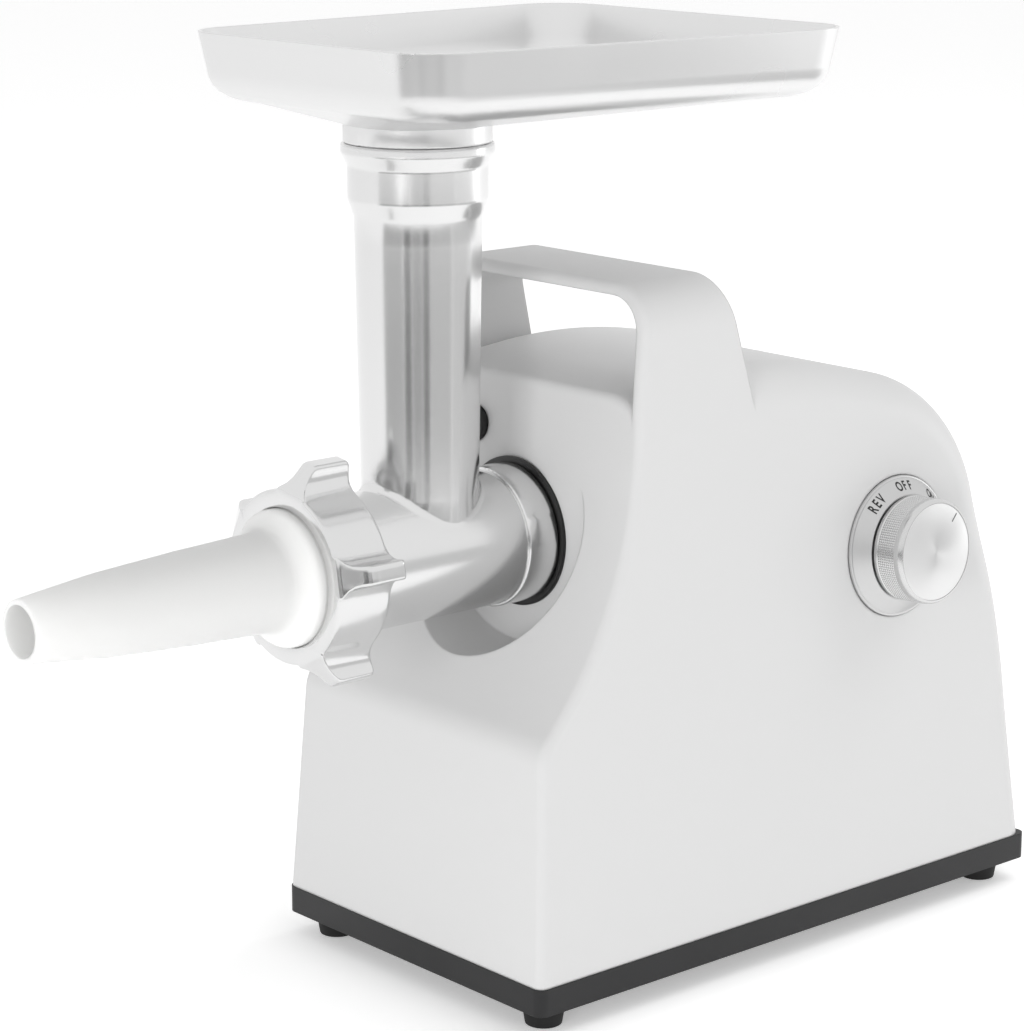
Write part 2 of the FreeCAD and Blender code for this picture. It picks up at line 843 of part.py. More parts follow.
base = padded("base_tray", [rectangle(half_base_x, half_base_y, d.base_corner)], d.base_height,
              at=(0, 0, base_bottom))
add_pocket(base, [rectangle(half_base_x - d.base_rim, half_base_y - d.base_rim,
                            d.base_corner - d.base_rim / 2)],
           d.base_height - d.base_floor, height=d.base_height)
vent_centre = (d.gearbox_front + d.gearbox_rear) / 2
vents = [
    rectangle(d.vent_length / 2, d.vent_width / 2, d.vent_width / 2 - 0.1, 0,
              vent_centre + d.vent_pitch * (i - (SIZES["vent_count"] - 1) / 2))
    for i in range(SIZES["vent_count"])
]
add_pocket(base, vents, 2 * d.base_floor, height=d.base_floor)
boss_radius = d.screw_head_radius + d.base_floor
bosses = [rod(f"base_boss_{i}", boss_radius, d.base_height - d.base_floor, (x, y, base_inside))
          for i, (x, y) in enumerate(post_places)]
rib_height = motor_z - d.stator_height / 2 - base_inside
ribs = [box(f"saddle_rib_{i}", (motor_x - d.rib_half, y, base_inside),
            (2 * d.rib_half, d.rib_thickness, rib_height))
        for i, y in enumerate((d.stator_y + d.rib_thickness, stator_end - 2 * d.rib_thickness))]
foot_x, foot_y = half_base_x - d.foot_inset, half_base_y - d.foot_inset
foot_places = [(sx * foot_x, sy * foot_y) for sx in (-1, 1) for sy in (-1, 1)]
screw_hole = d.screw_radius + d.seat_gap
base_holes = [rod(f"base_hole_{i}", screw_hole, 4 * d.base_height, (x, y, 0))
              for i, (x, y) in enumerate(post_places)]
base_holes += [rod(f"base_sink_{i}", d.screw_head_radius + d.plug_gap, d.screw_head, (x, y, base_bottom))
               for i, (x, y) in enumerate(post_places)]
base_holes += [rod(f"stem_hole_{i}", d.foot_stem_radius + d.seat_gap, 2 * d.base_height, (x, y, 0))
               for i, (x, y) in enumerate(foot_places)]
finished(cut("base_cut", fuse("base_solid", base, *bosses, *ribs), *base_holes), "base_plate")

# Rubber feet: turned pads with a stem pushed up through the base plate.
feet = [turned(f"foot_{i}", [
    (0, 0), (d.foot_radius - d.foot_taper, 0, d.foot_edge), (d.foot_radius, d.foot_height / 2),
    (d.foot_radius, d.foot_height),
    (d.foot_stem_radius, d.foot_height), (d.foot_stem_radius, base_inside), (0, base_inside),
], (x, y, 0)) for i, (x, y) in enumerate(foot_places)]
finished(group("feet", *feet), "rubber_feet")


def screw(name, length, at, turn):
    """A round-headed screw; its head's underside is at the point and its shank runs back from it."""
    return turned(name, [
        (0, -length), (d.screw_radius, -length), (d.screw_radius, 0), (d.screw_head_radius, 0),
        (d.screw_head_radius, d.screw_side, d.screw_round), (d.screw_head_radius / 2, d.screw_head),
        (0, d.screw_head),
    ], at, turn)


down = FreeCAD.Rotation(VX, 180)
post_screw = d.base_height + d.post_height / 2
finished(group("base_screw_set", *[
    screw(f"base_screw_{i}", post_screw, (x, y, base_bottom + d.screw_head), down)
    for i, (x, y) in enumerate(post_places)
]), "base_screws")
post_pilots = [rod(f"post_pilot_{i}", screw_hole, d.post_height * 0.8, (x, y, base_top))
               for i, (x, y) in enumerate(post_places)]

# Head socket: a black cup clamped in the pocket floor, with a bayonet groove and three entry slots.
socket_front = d.pocket_y - d.socket_flange
socket_length = d.gearbox_front - socket_front
spigot_hole = d.spigot_radius + d.plug_gap
lug_front = d.pocket_y + d.lug_back
groove_front = lug_front - socket_front - d.plug_gap
groove_rear = groove_front + d.lug_thickness + 2 * d.plug_gap
socket_cup = turned("socket_cup", [
    (spigot_hole, 0), (d.socket_flange_radius, 0, 0.8), (d.socket_flange_radius, d.socket_flange),
    (d.socket_radius, d.socket_flange), (d.socket_radius, socket_length),
    (d.output_shaft_radius + d.bush_wall, socket_length),
    (d.output_shaft_radius + d.bush_wall, socket_length - d.socket_floor),
    (spigot_hole, socket_length - d.socket_floor), (spigot_hole, groove_rear),
    (d.lug_radius + d.plug_gap, groove_rear), (d.lug_radius + d.plug_gap, groove_front),
    (spigot_hole, groove_front),
], (0, socket_front, d.axis_z), "+Y")


def three_lugs(name, radius, half, length, y, turn):
    """Three bayonet lugs, or the slots that let them in, about the barrel's axis."""
    bars = []
    for i in range(3):
        bar = padded(f"{name}_bar_{i}", [[(0, -half), (radius * 2, -half), (radius * 2, half), (0, half)]],
                     length)
        angle = 90 + turn + 120 * i
        bars.append(place(bar, (0, y, d.axis_z), ALONG["+Y"].multiply(FreeCAD.Rotation(VZ, angle))))
    return common(f"{name}_set", fuse(f"{name}_bars", *bars),
                  rod(f"{name}_round", radius, length, (0, y, d.axis_z), "+Y"))


entry = three_lugs("entry", d.lug_radius + d.plug_gap, d.lug_width / 2 + 2 * d.plug_gap,
                   groove_front + d.plug_gap, socket_front, d.entry_turn.number)
lock_angle = math.degrees(math.atan2((d.lock_z - d.axis_z).number, d.lock_x.number))
latch_front = pocket_rear + d.plug_gap
latch_slot_length = d.latch_thickness + d.lock_travel + 2 * d.plug_gap
latch_turn = ALONG["+Y"].multiply(FreeCAD.Rotation(VZ, -lock_angle))
latch_inner = d.lug_radius + 2 * d.plug_gap
latch_outer = Dim(math.hypot(d.lock_x.number, (d.lock_z - d.axis_z).number),
                  f"sqrt({d.lock_x.text}^2 + {(d.lock_z - d.axis_z).text}^2)")


def latch_bar(name, inner, outer, half, length, y):
    """A flat bar along the line from the barrel's axis to the lock button."""
    bar = padded(name, [[(inner, -half), (outer, -half), (outer, half), (inner, half)]], length)
    return place(bar, (0, y, d.axis_z), latch_turn)


latch_slot = latch_bar("latch_slot", d.spigot_radius, 2 * latch_outer, d.latch_width / 2 + d.plug_gap,
                       latch_slot_length, pocket_rear)
socket_screw_circle = (d.output_shaft_radius + d.bush_wall + spigot_hole) / 2


def around(radius, count, first, y):
    """Points evenly spaced about the barrel's axis."""
    angles = [first + 360.0 * i / count for i in range(count)]
    return [(radius * trig("cos", a), y, d.axis_z + radius * trig("sin", a)) for a in angles]


socket_seat = d.gearbox_front - d.socket_floor
socket_screw_places = around(socket_screw_circle, 3, 30.0, socket_seat)
socket_holes = [rod(f"socket_screw_hole_{i}", screw_hole, 2 * d.socket_floor, (x, y - d.socket_floor / 2, z),
                    "+Y")
                for i, (x, y, z) in enumerate(socket_screw_places)]
finished(cut("socket_cut", socket_cup, entry, latch_slot, *socket_holes), "head_socket")
socket_screw_length = d.socket_floor + d.gearbox_plate
finished(group("socket_screw_set", *[
    screw(f"socket_screw_{i}", socket_screw_length, point, "-Y")
    for i, point in enumerate(socket_screw_places)
]), "socket_screws")

# Lock button: a black push button in the front wall, with its latch bar and return spring.
lock_wall_y = front_wall_y(d.lock_z)
lock_front = lock_wall_y - d.lock_proud
lock_body = latch_front - lock_front
finished(turned("lock_cap", [
    (0, 0), (d.lock_radius, 0, 1.2), (d.lock_radius, lock_body), (0, lock_body),
], (d.lock_x, lock_front, d.lock_z), "+Y"), "lock_button")
finished(latch_bar("latch", latch_inner, latch_outer + d.latch_width / 2, d.latch_width / 2,
                   d.latch_thickness,
                   latch_front), "lock_latch")
spring_front = latch_front + d.latch_thickness
spring_length = d.gearbox_front - spring_front


def wound(body, sketch, pitch, height):
    """Wind a section round its body's own Z axis."""
    doc.recompute()
    winding = body.newObject("PartDesign::AdditiveHelix", f"{body.Name}_winding")
    winding.Profile = sketch
    winding.ReferenceAxis = (sketch, ["V_Axis"])
    winding.Mode = "pitch-height-angle"
    bind(winding, Pitch=pitch, Height=height)
    body.Tip = winding


lock_coil = new_body("lock_coil")
lock_wire = new_sketch(lock_coil, "XZ")
ring(lock_wire, d.lock_radius - 2 * d.spring_wire, d.spring_wire, d.spring_wire)
spring_reach = spring_length - 2 * d.spring_wire
wound(lock_coil, lock_wire, spring_reach / d.spring_turns, spring_reach)
finished(place(lock_coil, (d.lock_x, spring_front, d.lock_z), "+Y"), "lock_spring")

# Dial plate, switch knob with its turned cap, and the rotary switch behind the wall.
# Heights run outwards along the dial's axis from the shell's tapered side.
dial_top = d.dial_proud
finished(turned("dial_disc", [
    (d.bush_radius + d.plug_gap, -d.dial_recess), (d.dial_radius, -d.dial_recess),
    (d.dial_radius, dial_top - d.dial_edge),
    (d.dial_radius - d.dial_edge, dial_top), (d.bush_radius + d.plug_gap, dial_top),
], on_dial(), dial_turn), "dial_plate")
knob_foot = dial_top + d.knob_gap
knob_top = d.knob_height
cap_seat = knob_top - d.cap_thickness
finished(turned("knob_body", [
    (d.spindle_radius + d.seat_gap, knob_foot + d.knob_socket),
    (d.switch_nut_radius, knob_foot + d.knob_socket),
    (d.switch_nut_radius + d.knob_undercut, knob_foot), (d.knob_radius, knob_foot),
    (d.knob_radius, knob_foot + d.knob_ring),
    (d.knob_radius - d.knob_step, knob_foot + d.knob_ring + d.knob_step),
    (d.knob_radius - d.knob_grip_drop, knob_top - d.knob_band - d.knob_step),
    (d.knob_radius - d.knob_step, knob_top - d.knob_band), (d.knob_top_radius, knob_top - d.knob_round),
    (d.cap_radius + d.cap_rim, knob_top),
    (d.cap_radius, knob_top), (d.cap_radius, cap_seat), (d.spindle_radius + d.seat_gap, cap_seat),
], on_dial(), dial_turn), "switch_knob")
finished(turned("knob_disc", [
    (0, cap_seat), (d.cap_radius - d.seat_gap, cap_seat), (d.cap_radius - d.seat_gap, knob_top - d.cap_edge),
    (d.cap_radius - d.cap_bevel, knob_top), (0, knob_top),
], on_dial(), dial_turn), "knob_cap")
switch_front = -d.wall - d.seat_gap
bush_top = dial_top + d.switch_nut_height + d.bush_proud
switch_body = padded("switch_body", [rectangle(d.switch_side / 2, d.switch_side / 2, d.switch_corner)],
                     d.switch_depth,
                     at=on_dial(switch_front - d.switch_depth), turn=dial_turn)
switch_bush = rod("switch_bush", d.bush_radius, bush_top - switch_front, on_dial(switch_front), dial_turn)
terminal_end = switch_front - d.switch_depth - d.terminal_length
terminals = [
    padded(f"terminal_{i}", [rectangle(d.terminal_width / 2, d.terminal_thickness / 2, 0, 0, y)],
           d.terminal_length,
           at=on_dial(terminal_end), turn=dial_turn)
    for i, y in enumerate((-d.terminal_pitch, 0, d.terminal_pitch))
]
spindle_depth = d.switch_depth / 2
finished(cut("switch_cut", fuse("switch_solid", switch_body, switch_bush, *terminals),
             rod("spindle_bore", d.spindle_radius + d.run_gap, 4 * d.switch_depth,
                 on_dial(switch_front - spindle_depth), dial_turn)), "rotary_switch")
finished(rod("spindle", d.spindle_radius, cap_seat - switch_front + spindle_depth - d.plug_gap,
             on_dial(switch_front - spindle_depth + d.plug_gap), dial_turn), "switch_spindle")
hexagon = [(d.switch_nut_radius * trig("cos", 60 * i), d.switch_nut_radius * trig("sin", 60 * i))
           for i in range(6)]
finished(padded("bush_nut", [hexagon], d.switch_nut_height, [(0, 0, d.bush_radius + d.seat_gap)],
                at=on_dial(dial_top), turn=dial_turn), "switch_nut")

# Appliance inlet: a flanged socket in the rear wall with three flat pins and two screws.
inlet = padded("inlet_block", [rectangle(d.inlet_flange_width / 2, d.inlet_flange_height / 2,
                                         d.inlet_flange_corner)], d.inlet_flange,
               at=on_rear(d.inlet_z), turn=inlet_turn)
add_pad(inlet, [rectangle(d.inlet_width / 2, d.inlet_height / 2)], d.inlet_depth, height=-d.inlet_depth)
add_pocket(inlet, [rectangle(d.inlet_cavity_width / 2, d.inlet_cavity_height / 2, d.inlet_cavity_corner)],
           d.inlet_cavity_depth,
           height=d.inlet_flange)
inlet_floor = d.inlet_flange - d.inlet_cavity_depth
for pin_x, pin_y in ((-d.pin_pitch, d.pin_offset), (0, -d.pin_offset), (d.pin_pitch, d.pin_offset)):
    add_pad(inlet, [rectangle(d.pin_thickness / 2, d.pin_width / 2, 0, pin_x, pin_y)],
            d.inlet_cavity_depth - d.pin_setback,
            height=inlet_floor)
inlet_screw_x = d.inlet_screw_pitch / 2
add_pocket(inlet, [], 2 * d.inlet_flange, [(-inlet_screw_x, 0, screw_hole), (inlet_screw_x, 0, screw_hole)],
           height=d.inlet_flange)
finished(inlet, "power_inlet")


def rear_point(x, depth):
    """A point beside the inlet, at a height above the rear wall."""
    _, y, z = on_rear(d.inlet_z)
    lean = as_dim(rear_lean)
    return (x, y + trig("cos", lean) * depth, z + trig("sin", lean) * depth)


inlet_screws = [screw(f"inlet_screw_{i}", 2 * d.wall, rear_point(x, d.inlet_flange), inlet_turn)
                for i, x in enumerate((-inlet_screw_x, inlet_screw_x))]
finished(group("inlet_screw_set", *inlet_screws), "inlet_screws")
inlet_pilots = [rod(f"inlet_pilot_{i}", screw_hole, 6 * d.wall, rear_point(x, -3 * d.wall), inlet_turn)
                for i, x in enumerate((-inlet_screw_x, inlet_screw_x))]
wall_slot = latch_bar("wall_slot", d.socket_radius, latch_outer + d.latch_width / 2 + d.plug_gap,
                      d.latch_width / 2 + d.plug_gap, latch_slot_length, pocket_rear)
finished(cut("housing_drilled", housing, wall_slot, *post_pilots, *inlet_pilots), "housing_shell")

# Gearbox: a cast cup behind the pocket floor, closed by a rear cover.
gearbox_depth = d.gearbox_rear - d.gearbox_front


def gearbox_outline(inset):
    """The gearbox outline seen from the front, round the three gear axes."""
    return [
        (inset - d.gearbox_half, d.gearbox_top - inset, d.gearbox_crown - inset),
        (inset - d.gearbox_half, d.gearbox_bulge_z, d.gearbox_corner),
        (inset - d.gearbox_foot_half, d.gearbox_foot_z + inset, d.gearbox_corner - inset),
        (d.gearbox_foot_half - inset, d.gearbox_foot_z + inset, d.gearbox_corner - inset),
        (d.gearbox_bulge_x - inset, d.gearbox_bulge_z, d.gearbox_corner - inset),
        (d.gearbox_half - inset, d.gearbox_top - inset, d.gearbox_crown - inset),
    ]


def facing_rear(outline):
    """An outline given in x and z, for a piece whose own Z axis points to +Y."""
    return [(x, -as_dim(z)) + tuple(rest) for x, z, *rest in outline]


gearbox = padded("gearbox_cup", [facing_rear(gearbox_outline(as_dim(0)))], gearbox_depth,
                 at=(0, d.gearbox_front, 0), turn="+Y")
add_pocket(gearbox, [facing_rear(gearbox_outline(d.gearbox_wall))], gearbox_depth - d.gearbox_plate,
           height=gearbox_depth)
nose = turned("gearbox_nose", [
    (d.socket_radius + d.plug_gap, 0), (d.nose_radius, 0), (d.nose_radius, nose_length),
    (d.socket_radius + d.plug_gap, nose_length),
], (0, pocket_rear, d.axis_z), "+Y")
bush_seat = d.output_shaft_radius + d.bush_wall + d.seat_gap
front_boss = rod("front_boss", bush_seat + d.gearbox_wall, d.bush_length, (0, d.gearbox_front, d.axis_z),
                 "+Y")
axle_places = [(first_x, first_z), (second_x, second_z)]
output_gear_y = d.gearbox_front + d.bush_length + d.gear_gap
second_gear_y = output_gear_y + d.output_width + d.gear_gap
first_gear_y = second_gear_y + d.second_width + d.gear_gap
idler_fronts = (second_gear_y, output_gear_y)
idler_rears = (first_gear_y + d.first_width, second_gear_y + d.second_width)
axle_bosses = [rod(f"axle_boss_{i}", d.hub_radius, y - d.plug_gap - d.gearbox_front, (x, d.gearbox_front, z),
                   "+Y")
               for i, ((x, z), y) in enumerate(zip(axle_places, idler_fronts))]
cover_bosses = [rod(f"cover_boss_{i}", d.hub_radius, d.gearbox_rear - y - d.plug_gap, (x, d.gearbox_rear, z),
                    "-Y")
                for i, ((x, z), y) in enumerate(zip(axle_places, idler_rears))]
spring_pad = rod("spring_pad", d.lock_radius + d.spring_pad_rim, d.gearbox_plate,
                 (d.lock_x, d.gearbox_front, d.lock_z), "+Y")
axle_holes = [rod(f"axle_hole_{i}", d.axle_radius + d.seat_gap, 2 * gearbox_depth, (x, d.gearbox_front, z),
                  "+Y")
              for i, (x, z) in enumerate(axle_places)]
gearbox_screw_places = [
    (sx * (d.gearbox_foot_half - 9), z) for sx in (-1, 1) for z in (d.gearbox_foot_z + 8, d.gearbox_top - 10)
]
screw_posts = [rod(f"gearbox_post_{i}", d.screw_radius + 3, gearbox_depth, (x, d.gearbox_front, z), "+Y")
               for i, (x, z) in enumerate(gearbox_screw_places)]
gearbox_pilots = [rod(f"gearbox_pilot_{i}", screw_hole, gearbox_depth,
                      (x, d.gearbox_front + d.gearbox_plate, z), "+Y")
                  for i, (x, z) in enumerate(gearbox_screw_places)]
nose_slot = latch_bar("nose_slot", d.socket_radius - 1, 2 * latch_outer, d.latch_width / 2 + d.plug_gap,
                      latch_slot_length, pocket_rear)
socket_pilots = [rod(f"socket_pilot_{i}", screw_hole, 2 * d.gearbox_plate, (x, d.gearbox_front, z), "+Y")
                 for i, (x, y, z) in enumerate(socket_screw_places)]
finished(cut("gearbox_cut", fuse("gearbox_solid", gearbox, nose, front_boss, spring_pad, *axle_bosses,
                                 *screw_posts),
             rod("front_bush_bore", bush_seat, 2 * d.bush_length,
                 (0, d.gearbox_front - d.bush_length / 2, d.axis_z), "+Y"),
             *axle_holes, *gearbox_pilots, nose_slot, *socket_pilots), "gearbox_housing")
cover_rear = d.gearbox_rear + d.cover_thickness
cover = padded("cover_plate", [facing_rear(gearbox_outline(as_dim(0)))], d.cover_thickness,
               at=(0, d.gearbox_rear, 0), turn="+Y")
rear_boss = rod("rear_boss", bush_seat + d.gearbox_wall, d.bush_length, (0, d.gearbox_rear, d.axis_z), "+Y")
cover_holes = [rod(f"cover_hole_{i}", screw_hole, 4 * d.cover_thickness,
                   (x, d.gearbox_rear - d.cover_thickness, z), "+Y")
               for i, (x, z) in enumerate(gearbox_screw_places)]
finished(cut("cover_cut", fuse("cover_solid", cover, rear_boss, *cover_bosses),
             rod("rear_bush_bore", bush_seat, 4 * d.bush_length,
                 (0, d.gearbox_rear - d.bush_length, d.axis_z), "+Y"),
             rod("motor_shaft_hole", d.shaft_radius + d.shaft_clear, 4 * d.bush_length,
                 (motor_x, d.gearbox_rear - d.bush_length, motor_z), "+Y"),
             *axle_holes, *cover_holes), "gearbox_cover")
finished(group("gearbox_screw_set", *[
    screw(f"gearbox_screw_{i}", 4 * d.cover_thickness, (x, cover_rear, z), "+Y")
    for i, (x, z) in enumerate(gearbox_screw_places)
]), "gearbox_screws")


def sleeve(name, inner, outer, length, at):
    """A plain ring that lies along the barrel's direction."""
    return padded(name, [], length, [(0, 0, outer), (0, 0, inner)], at, "+Y")


def bush(name, y):
    """A sintered bush that the output shaft runs in."""
    return sleeve(name, d.output_shaft_radius + d.run_gap, d.output_shaft_radius + d.bush_wall, d.bush_length,
                  (0, y, d.axis_z))


finished(bush("front_bush", d.gearbox_front), "output_bush_front")
finished(bush("rear_bush", d.gearbox_rear), "output_bush_rear")


def repeated(body, feature, count):
    """Repeat a body's feature evenly about its own Z axis."""
    doc.recompute()
    pattern = body.newObject("PartDesign::PolarPattern", f"{body.Name}_pattern")
    pattern.Originals = [feature]
    pattern.Axis = ([axis for axis in body.Origin.OriginFeatures if axis.Role == "Z_Axis"][0], [""])
    pattern.Angle = 360
    bind(pattern, Occurrences=count)
    body.Tip = pattern


def spur_gear(name, teeth, module, width, bore, at, phase):
    """A spur gear: a root disc, one tooth, and the tooth repeated round the axis."""
    x, y, z = at
    root, tip, pitch = module * (teeth / 2 - 1.25), module * (teeth / 2 + 0.9), module * teeth / 2
    half = module * d.tooth_share * math.pi / 2
    body = new_body(name)
    add_pad(body, [], width, [(0, 0, root), (0, 0, bore)])
    tooth = add_pad(body, [[
        (root - module / 4, -half * 1.2), (pitch, -half), (tip, -half * 0.42),
        (tip, half * 0.42), (pitch, half), (root - module / 4, half * 1.2),
    ]], width)
    repeated(body, tooth, teeth)
    return place(body, (x, y, z), ALONG["+Y"].multiply(FreeCAD.Rotation(VZ, -phase)))


def meshing_phase(phase, teeth, angle, other_teeth):
    """The turn that puts a gap of the other gear on a tooth of this one, along the line of centres."""
    offset = (angle - phase) * teeth
    return angle + 180 + (offset + 180) / other_teeth


output_phase = 0.0
second_phase = meshing_phase(output_phase, SIZES["output_teeth"], SIZES["output_angle"],
                             SIZES["output_pinion_teeth"])
first_phase = meshing_phase(second_phase, SIZES["second_teeth"], SIZES["second_angle"],
                            SIZES["second_pinion_teeth"])
motor_phase = meshing_phase(first_phase, SIZES["first_teeth"], SIZES["first_angle"],
                            SIZES["motor_pinion_teeth"])
finished(spur_gear("output_wheel", d.output_teeth, d.output_module, d.output_width,
                   d.output_shaft_radius + d.seat_gap, (0, output_gear_y, d.axis_z), output_phase),
                   "output_gear")


idler_bore = d.axle_radius + d.run_gap
second_wheel = spur_gear("second_wheel", d.second_teeth, d.second_module, d.second_width, idler_bore,
                         (second_x, second_gear_y, second_z), second_phase)
second_pinion = spur_gear("second_pinion_body", d.output_pinion_teeth, d.output_module,
                          second_gear_y - output_gear_y, idler_bore, (second_x, output_gear_y, second_z),
                          second_phase)
first_wheel = spur_gear("first_wheel", d.first_teeth, d.first_module, d.first_width, idler_bore,
                        (first_x, first_gear_y, first_z), first_phase)
first_pinion = spur_gear("first_pinion_body", d.second_pinion_teeth, d.second_module,
                         first_gear_y - second_gear_y, idler_bore, (first_x, second_gear_y, first_z),
                         first_phase)
finished(second_wheel, "second_gear")
finished(second_pinion, "second_pinion")
finished(first_wheel, "first_gear")
finished(first_pinion, "first_pinion")
motor_pinion = spur_gear("motor_pinion_body", d.motor_pinion_teeth, d.first_module, d.first_width + 2,
                         d.shaft_radius - 1 + d.seat_gap, (motor_x, first_gear_y - 1, motor_z), motor_phase)
finished(motor_pinion, "motor_pinion")
axle_length = cover_rear - d.gearbox_front
for name, (x, z) in zip(("first_axle", "second_axle"), axle_places):
    finished(rod(f"{name}_pin", d.axle_radius, axle_length, (x, d.gearbox_front, z), "+Y"), name)

# Output shaft: runs in both bushes and takes the auger's square tail in its front end.
spigot_rear = socket_seat - d.screw_head - d.plug_gap
shaft_front = spigot_rear + d.plug_gap
shaft_length = d.gearbox_rear + d.bush_length - shaft_front
drive_half = d.drive_square / 2
output_shaft = turned("output_shaft_body", [
    (0, 0), (d.output_shaft_radius, 0, 0.6), (d.output_shaft_radius, shaft_length), (0, shaft_length),
], (0, shaft_front, d.axis_z), "+Y")
add_pocket(output_shaft, [rectangle(drive_half + d.plug_gap / 2, drive_half + d.plug_gap / 2)],
           d.drive_depth + d.overrun,
           upwards=True)
finished(output_shaft, "output_shaft")

# Motor: a laminated stator with two saddle coils on the base plate's ribs, and the wound rotor in it.
bolt_places = [(sx * d.bolt_x, sz * d.bolt_z) for sx in (-1, 1) for sz in (-1, 1)]


def on_motor(y, x=0, z=0):
    """A point about the motor's axis."""
    return (motor_x + x, y, motor_z + z)


stator = padded("stator_block", [rectangle(d.stator_width / 2, d.stator_height / 2, d.stator_corner)],
                d.stator_length, at=on_motor(d.stator_y), turn="+Y")
add_pocket(stator, [rectangle(d.stator_window, d.stator_window_half, d.plug_gap)], 2 * d.stator_length,
           height=d.stator_length)
add_pocket(stator, [], 2 * d.stator_length, [(0, 0, d.stator_bore)], height=d.stator_length)
add_pocket(stator, [], 2 * d.stator_length, [(x, z, screw_hole) for x, z in bolt_places],
           height=d.stator_length)
finished(stator, "stator_core")
coil_outer = d.stator_window - d.plug_gap
coil_inner = coil_outer - d.coil_width
coil_low = d.stator_window_half - d.coil_height - d.plug_gap
coil_high = d.stator_height / 2 - 1
coil_front = d.stator_y - d.coil_end


def coil_box(name, x, y, z, size, sign):
    """A straight piece of a coil; the lower coil mirrors the upper one."""
    height = size[2]
    low = z if sign > 0 else -(z + height)
    return box(name, on_motor(y, x, low), size)


coil_pieces = []
for sign, pole in ((1, "upper"), (-1, "lower")):
    for side, x in (("left", -coil_outer), ("right", coil_inner)):
        coil_pieces.append(coil_box(f"{pole}_{side}_run", x, coil_front, coil_low,
                                    (d.coil_width, d.stator_length + 2 * d.coil_end, d.coil_height), sign))
        for end, y in (("front", coil_front), ("rear", stator_end)):
            coil_pieces.append(coil_box(f"{pole}_{side}_{end}_riser", x, y, coil_low,
                                        (d.coil_width, d.coil_end, coil_high - coil_low), sign))
    for end, y in (("front", coil_front), ("rear", stator_end)):
        coil_pieces.append(coil_box(f"{pole}_{end}_bar", -coil_outer, y, coil_high - d.coil_height,
                                    (2 * coil_outer, d.coil_end, d.coil_height), sign))
finished(fuse("coils", *coil_pieces), "field_coils")
rotor_bore = d.shaft_radius + d.seat_gap
armature_front, armature_rear = d.stator_y + 1, stator_end - 1


def notched(name, radius, length, depth, half, count, y):
    """A ring on the rotor shaft with slots along its outside."""
    body = new_body(name)
    add_pad(body, [], length, [(0, 0, radius), (0, 0, rotor_bore)])
    slot = add_pocket(body, [rectangle(depth, half, 0, radius, 0)], 2 * length, height=length)
    repeated(body, slot, count)
    return place(body, on_motor(y), "+Y")


finished(notched("armature", d.armature_radius, armature_rear - armature_front, d.holder_wall * 4,
                 d.holder_wall,
                 d.armature_slots, armature_front), "armature_core")


def winding(name, y):
    """A bulging head of copper wire at one end of the armature."""
    return turned(name, [
        (rotor_bore, 0), (d.winding_radius, 0, d.winding_length / 3),
        (d.winding_radius, d.winding_length, d.winding_length / 3), (rotor_bore, d.winding_length),
    ], on_motor(y), "+Y")


commutator_y = armature_rear + d.winding_length + 1
finished(group("winding_heads", winding("front_winding", armature_front - d.winding_length),
               winding("rear_winding", armature_rear)), "armature_windings")
finished(notched("commutator_ring", d.commutator_radius, d.commutator_length, 1, d.plug_gap, d.armature_slots,
                 commutator_y), "commutator")
pinion_front = first_gear_y - 1
pinion_rear = pinion_front + d.first_width + 2
rotor_front = pinion_front - 1
shaft_rear = d.rear_bracket_y + d.bracket_thickness + 2
pinion_seat = d.shaft_radius - 1
finished(turned("rotor_spindle", [
    (0, 0), (pinion_seat, 0), (pinion_seat, pinion_rear - rotor_front),
    (d.shaft_radius, pinion_rear - rotor_front),
    (d.shaft_radius, shaft_rear - rotor_front), (0, shaft_rear - rotor_front),
], on_motor(rotor_front), "+Y"), "rotor_shaft")
fan_y = coil_front - d.fan_length - 2
fan = new_body("fan")
add_pad(fan, [], d.fan_length, [(0, 0, 2 * d.shaft_radius), (0, 0, rotor_bore)])
add_pad(fan, [], d.holder_wall, [(0, 0, d.fan_radius), (0, 0, rotor_bore)])
blade_half = (d.fan_radius - 2 * d.shaft_radius) / 2
blade_middle = d.fan_radius - d.blade_inset - blade_half
blade = add_pad(fan, [rectangle(blade_half, d.holder_wall / 2, 0, blade_middle, 0)], d.fan_length)
repeated(fan, blade, d.fan_blades)
finished(place(fan, on_motor(fan_y), "+Y"), "cooling_fan")
rear_bearing_y = d.rear_bracket_y + d.bracket_thickness - d.bearing_width
finished(group("bearing_pair", *[
    sleeve(f"bearing_{i}", d.shaft_radius + d.run_gap, d.bearing_radius, d.bearing_width, on_motor(y))
    for i, y in enumerate((d.front_bracket_y, rear_bearing_y))
]), "motor_bearings")


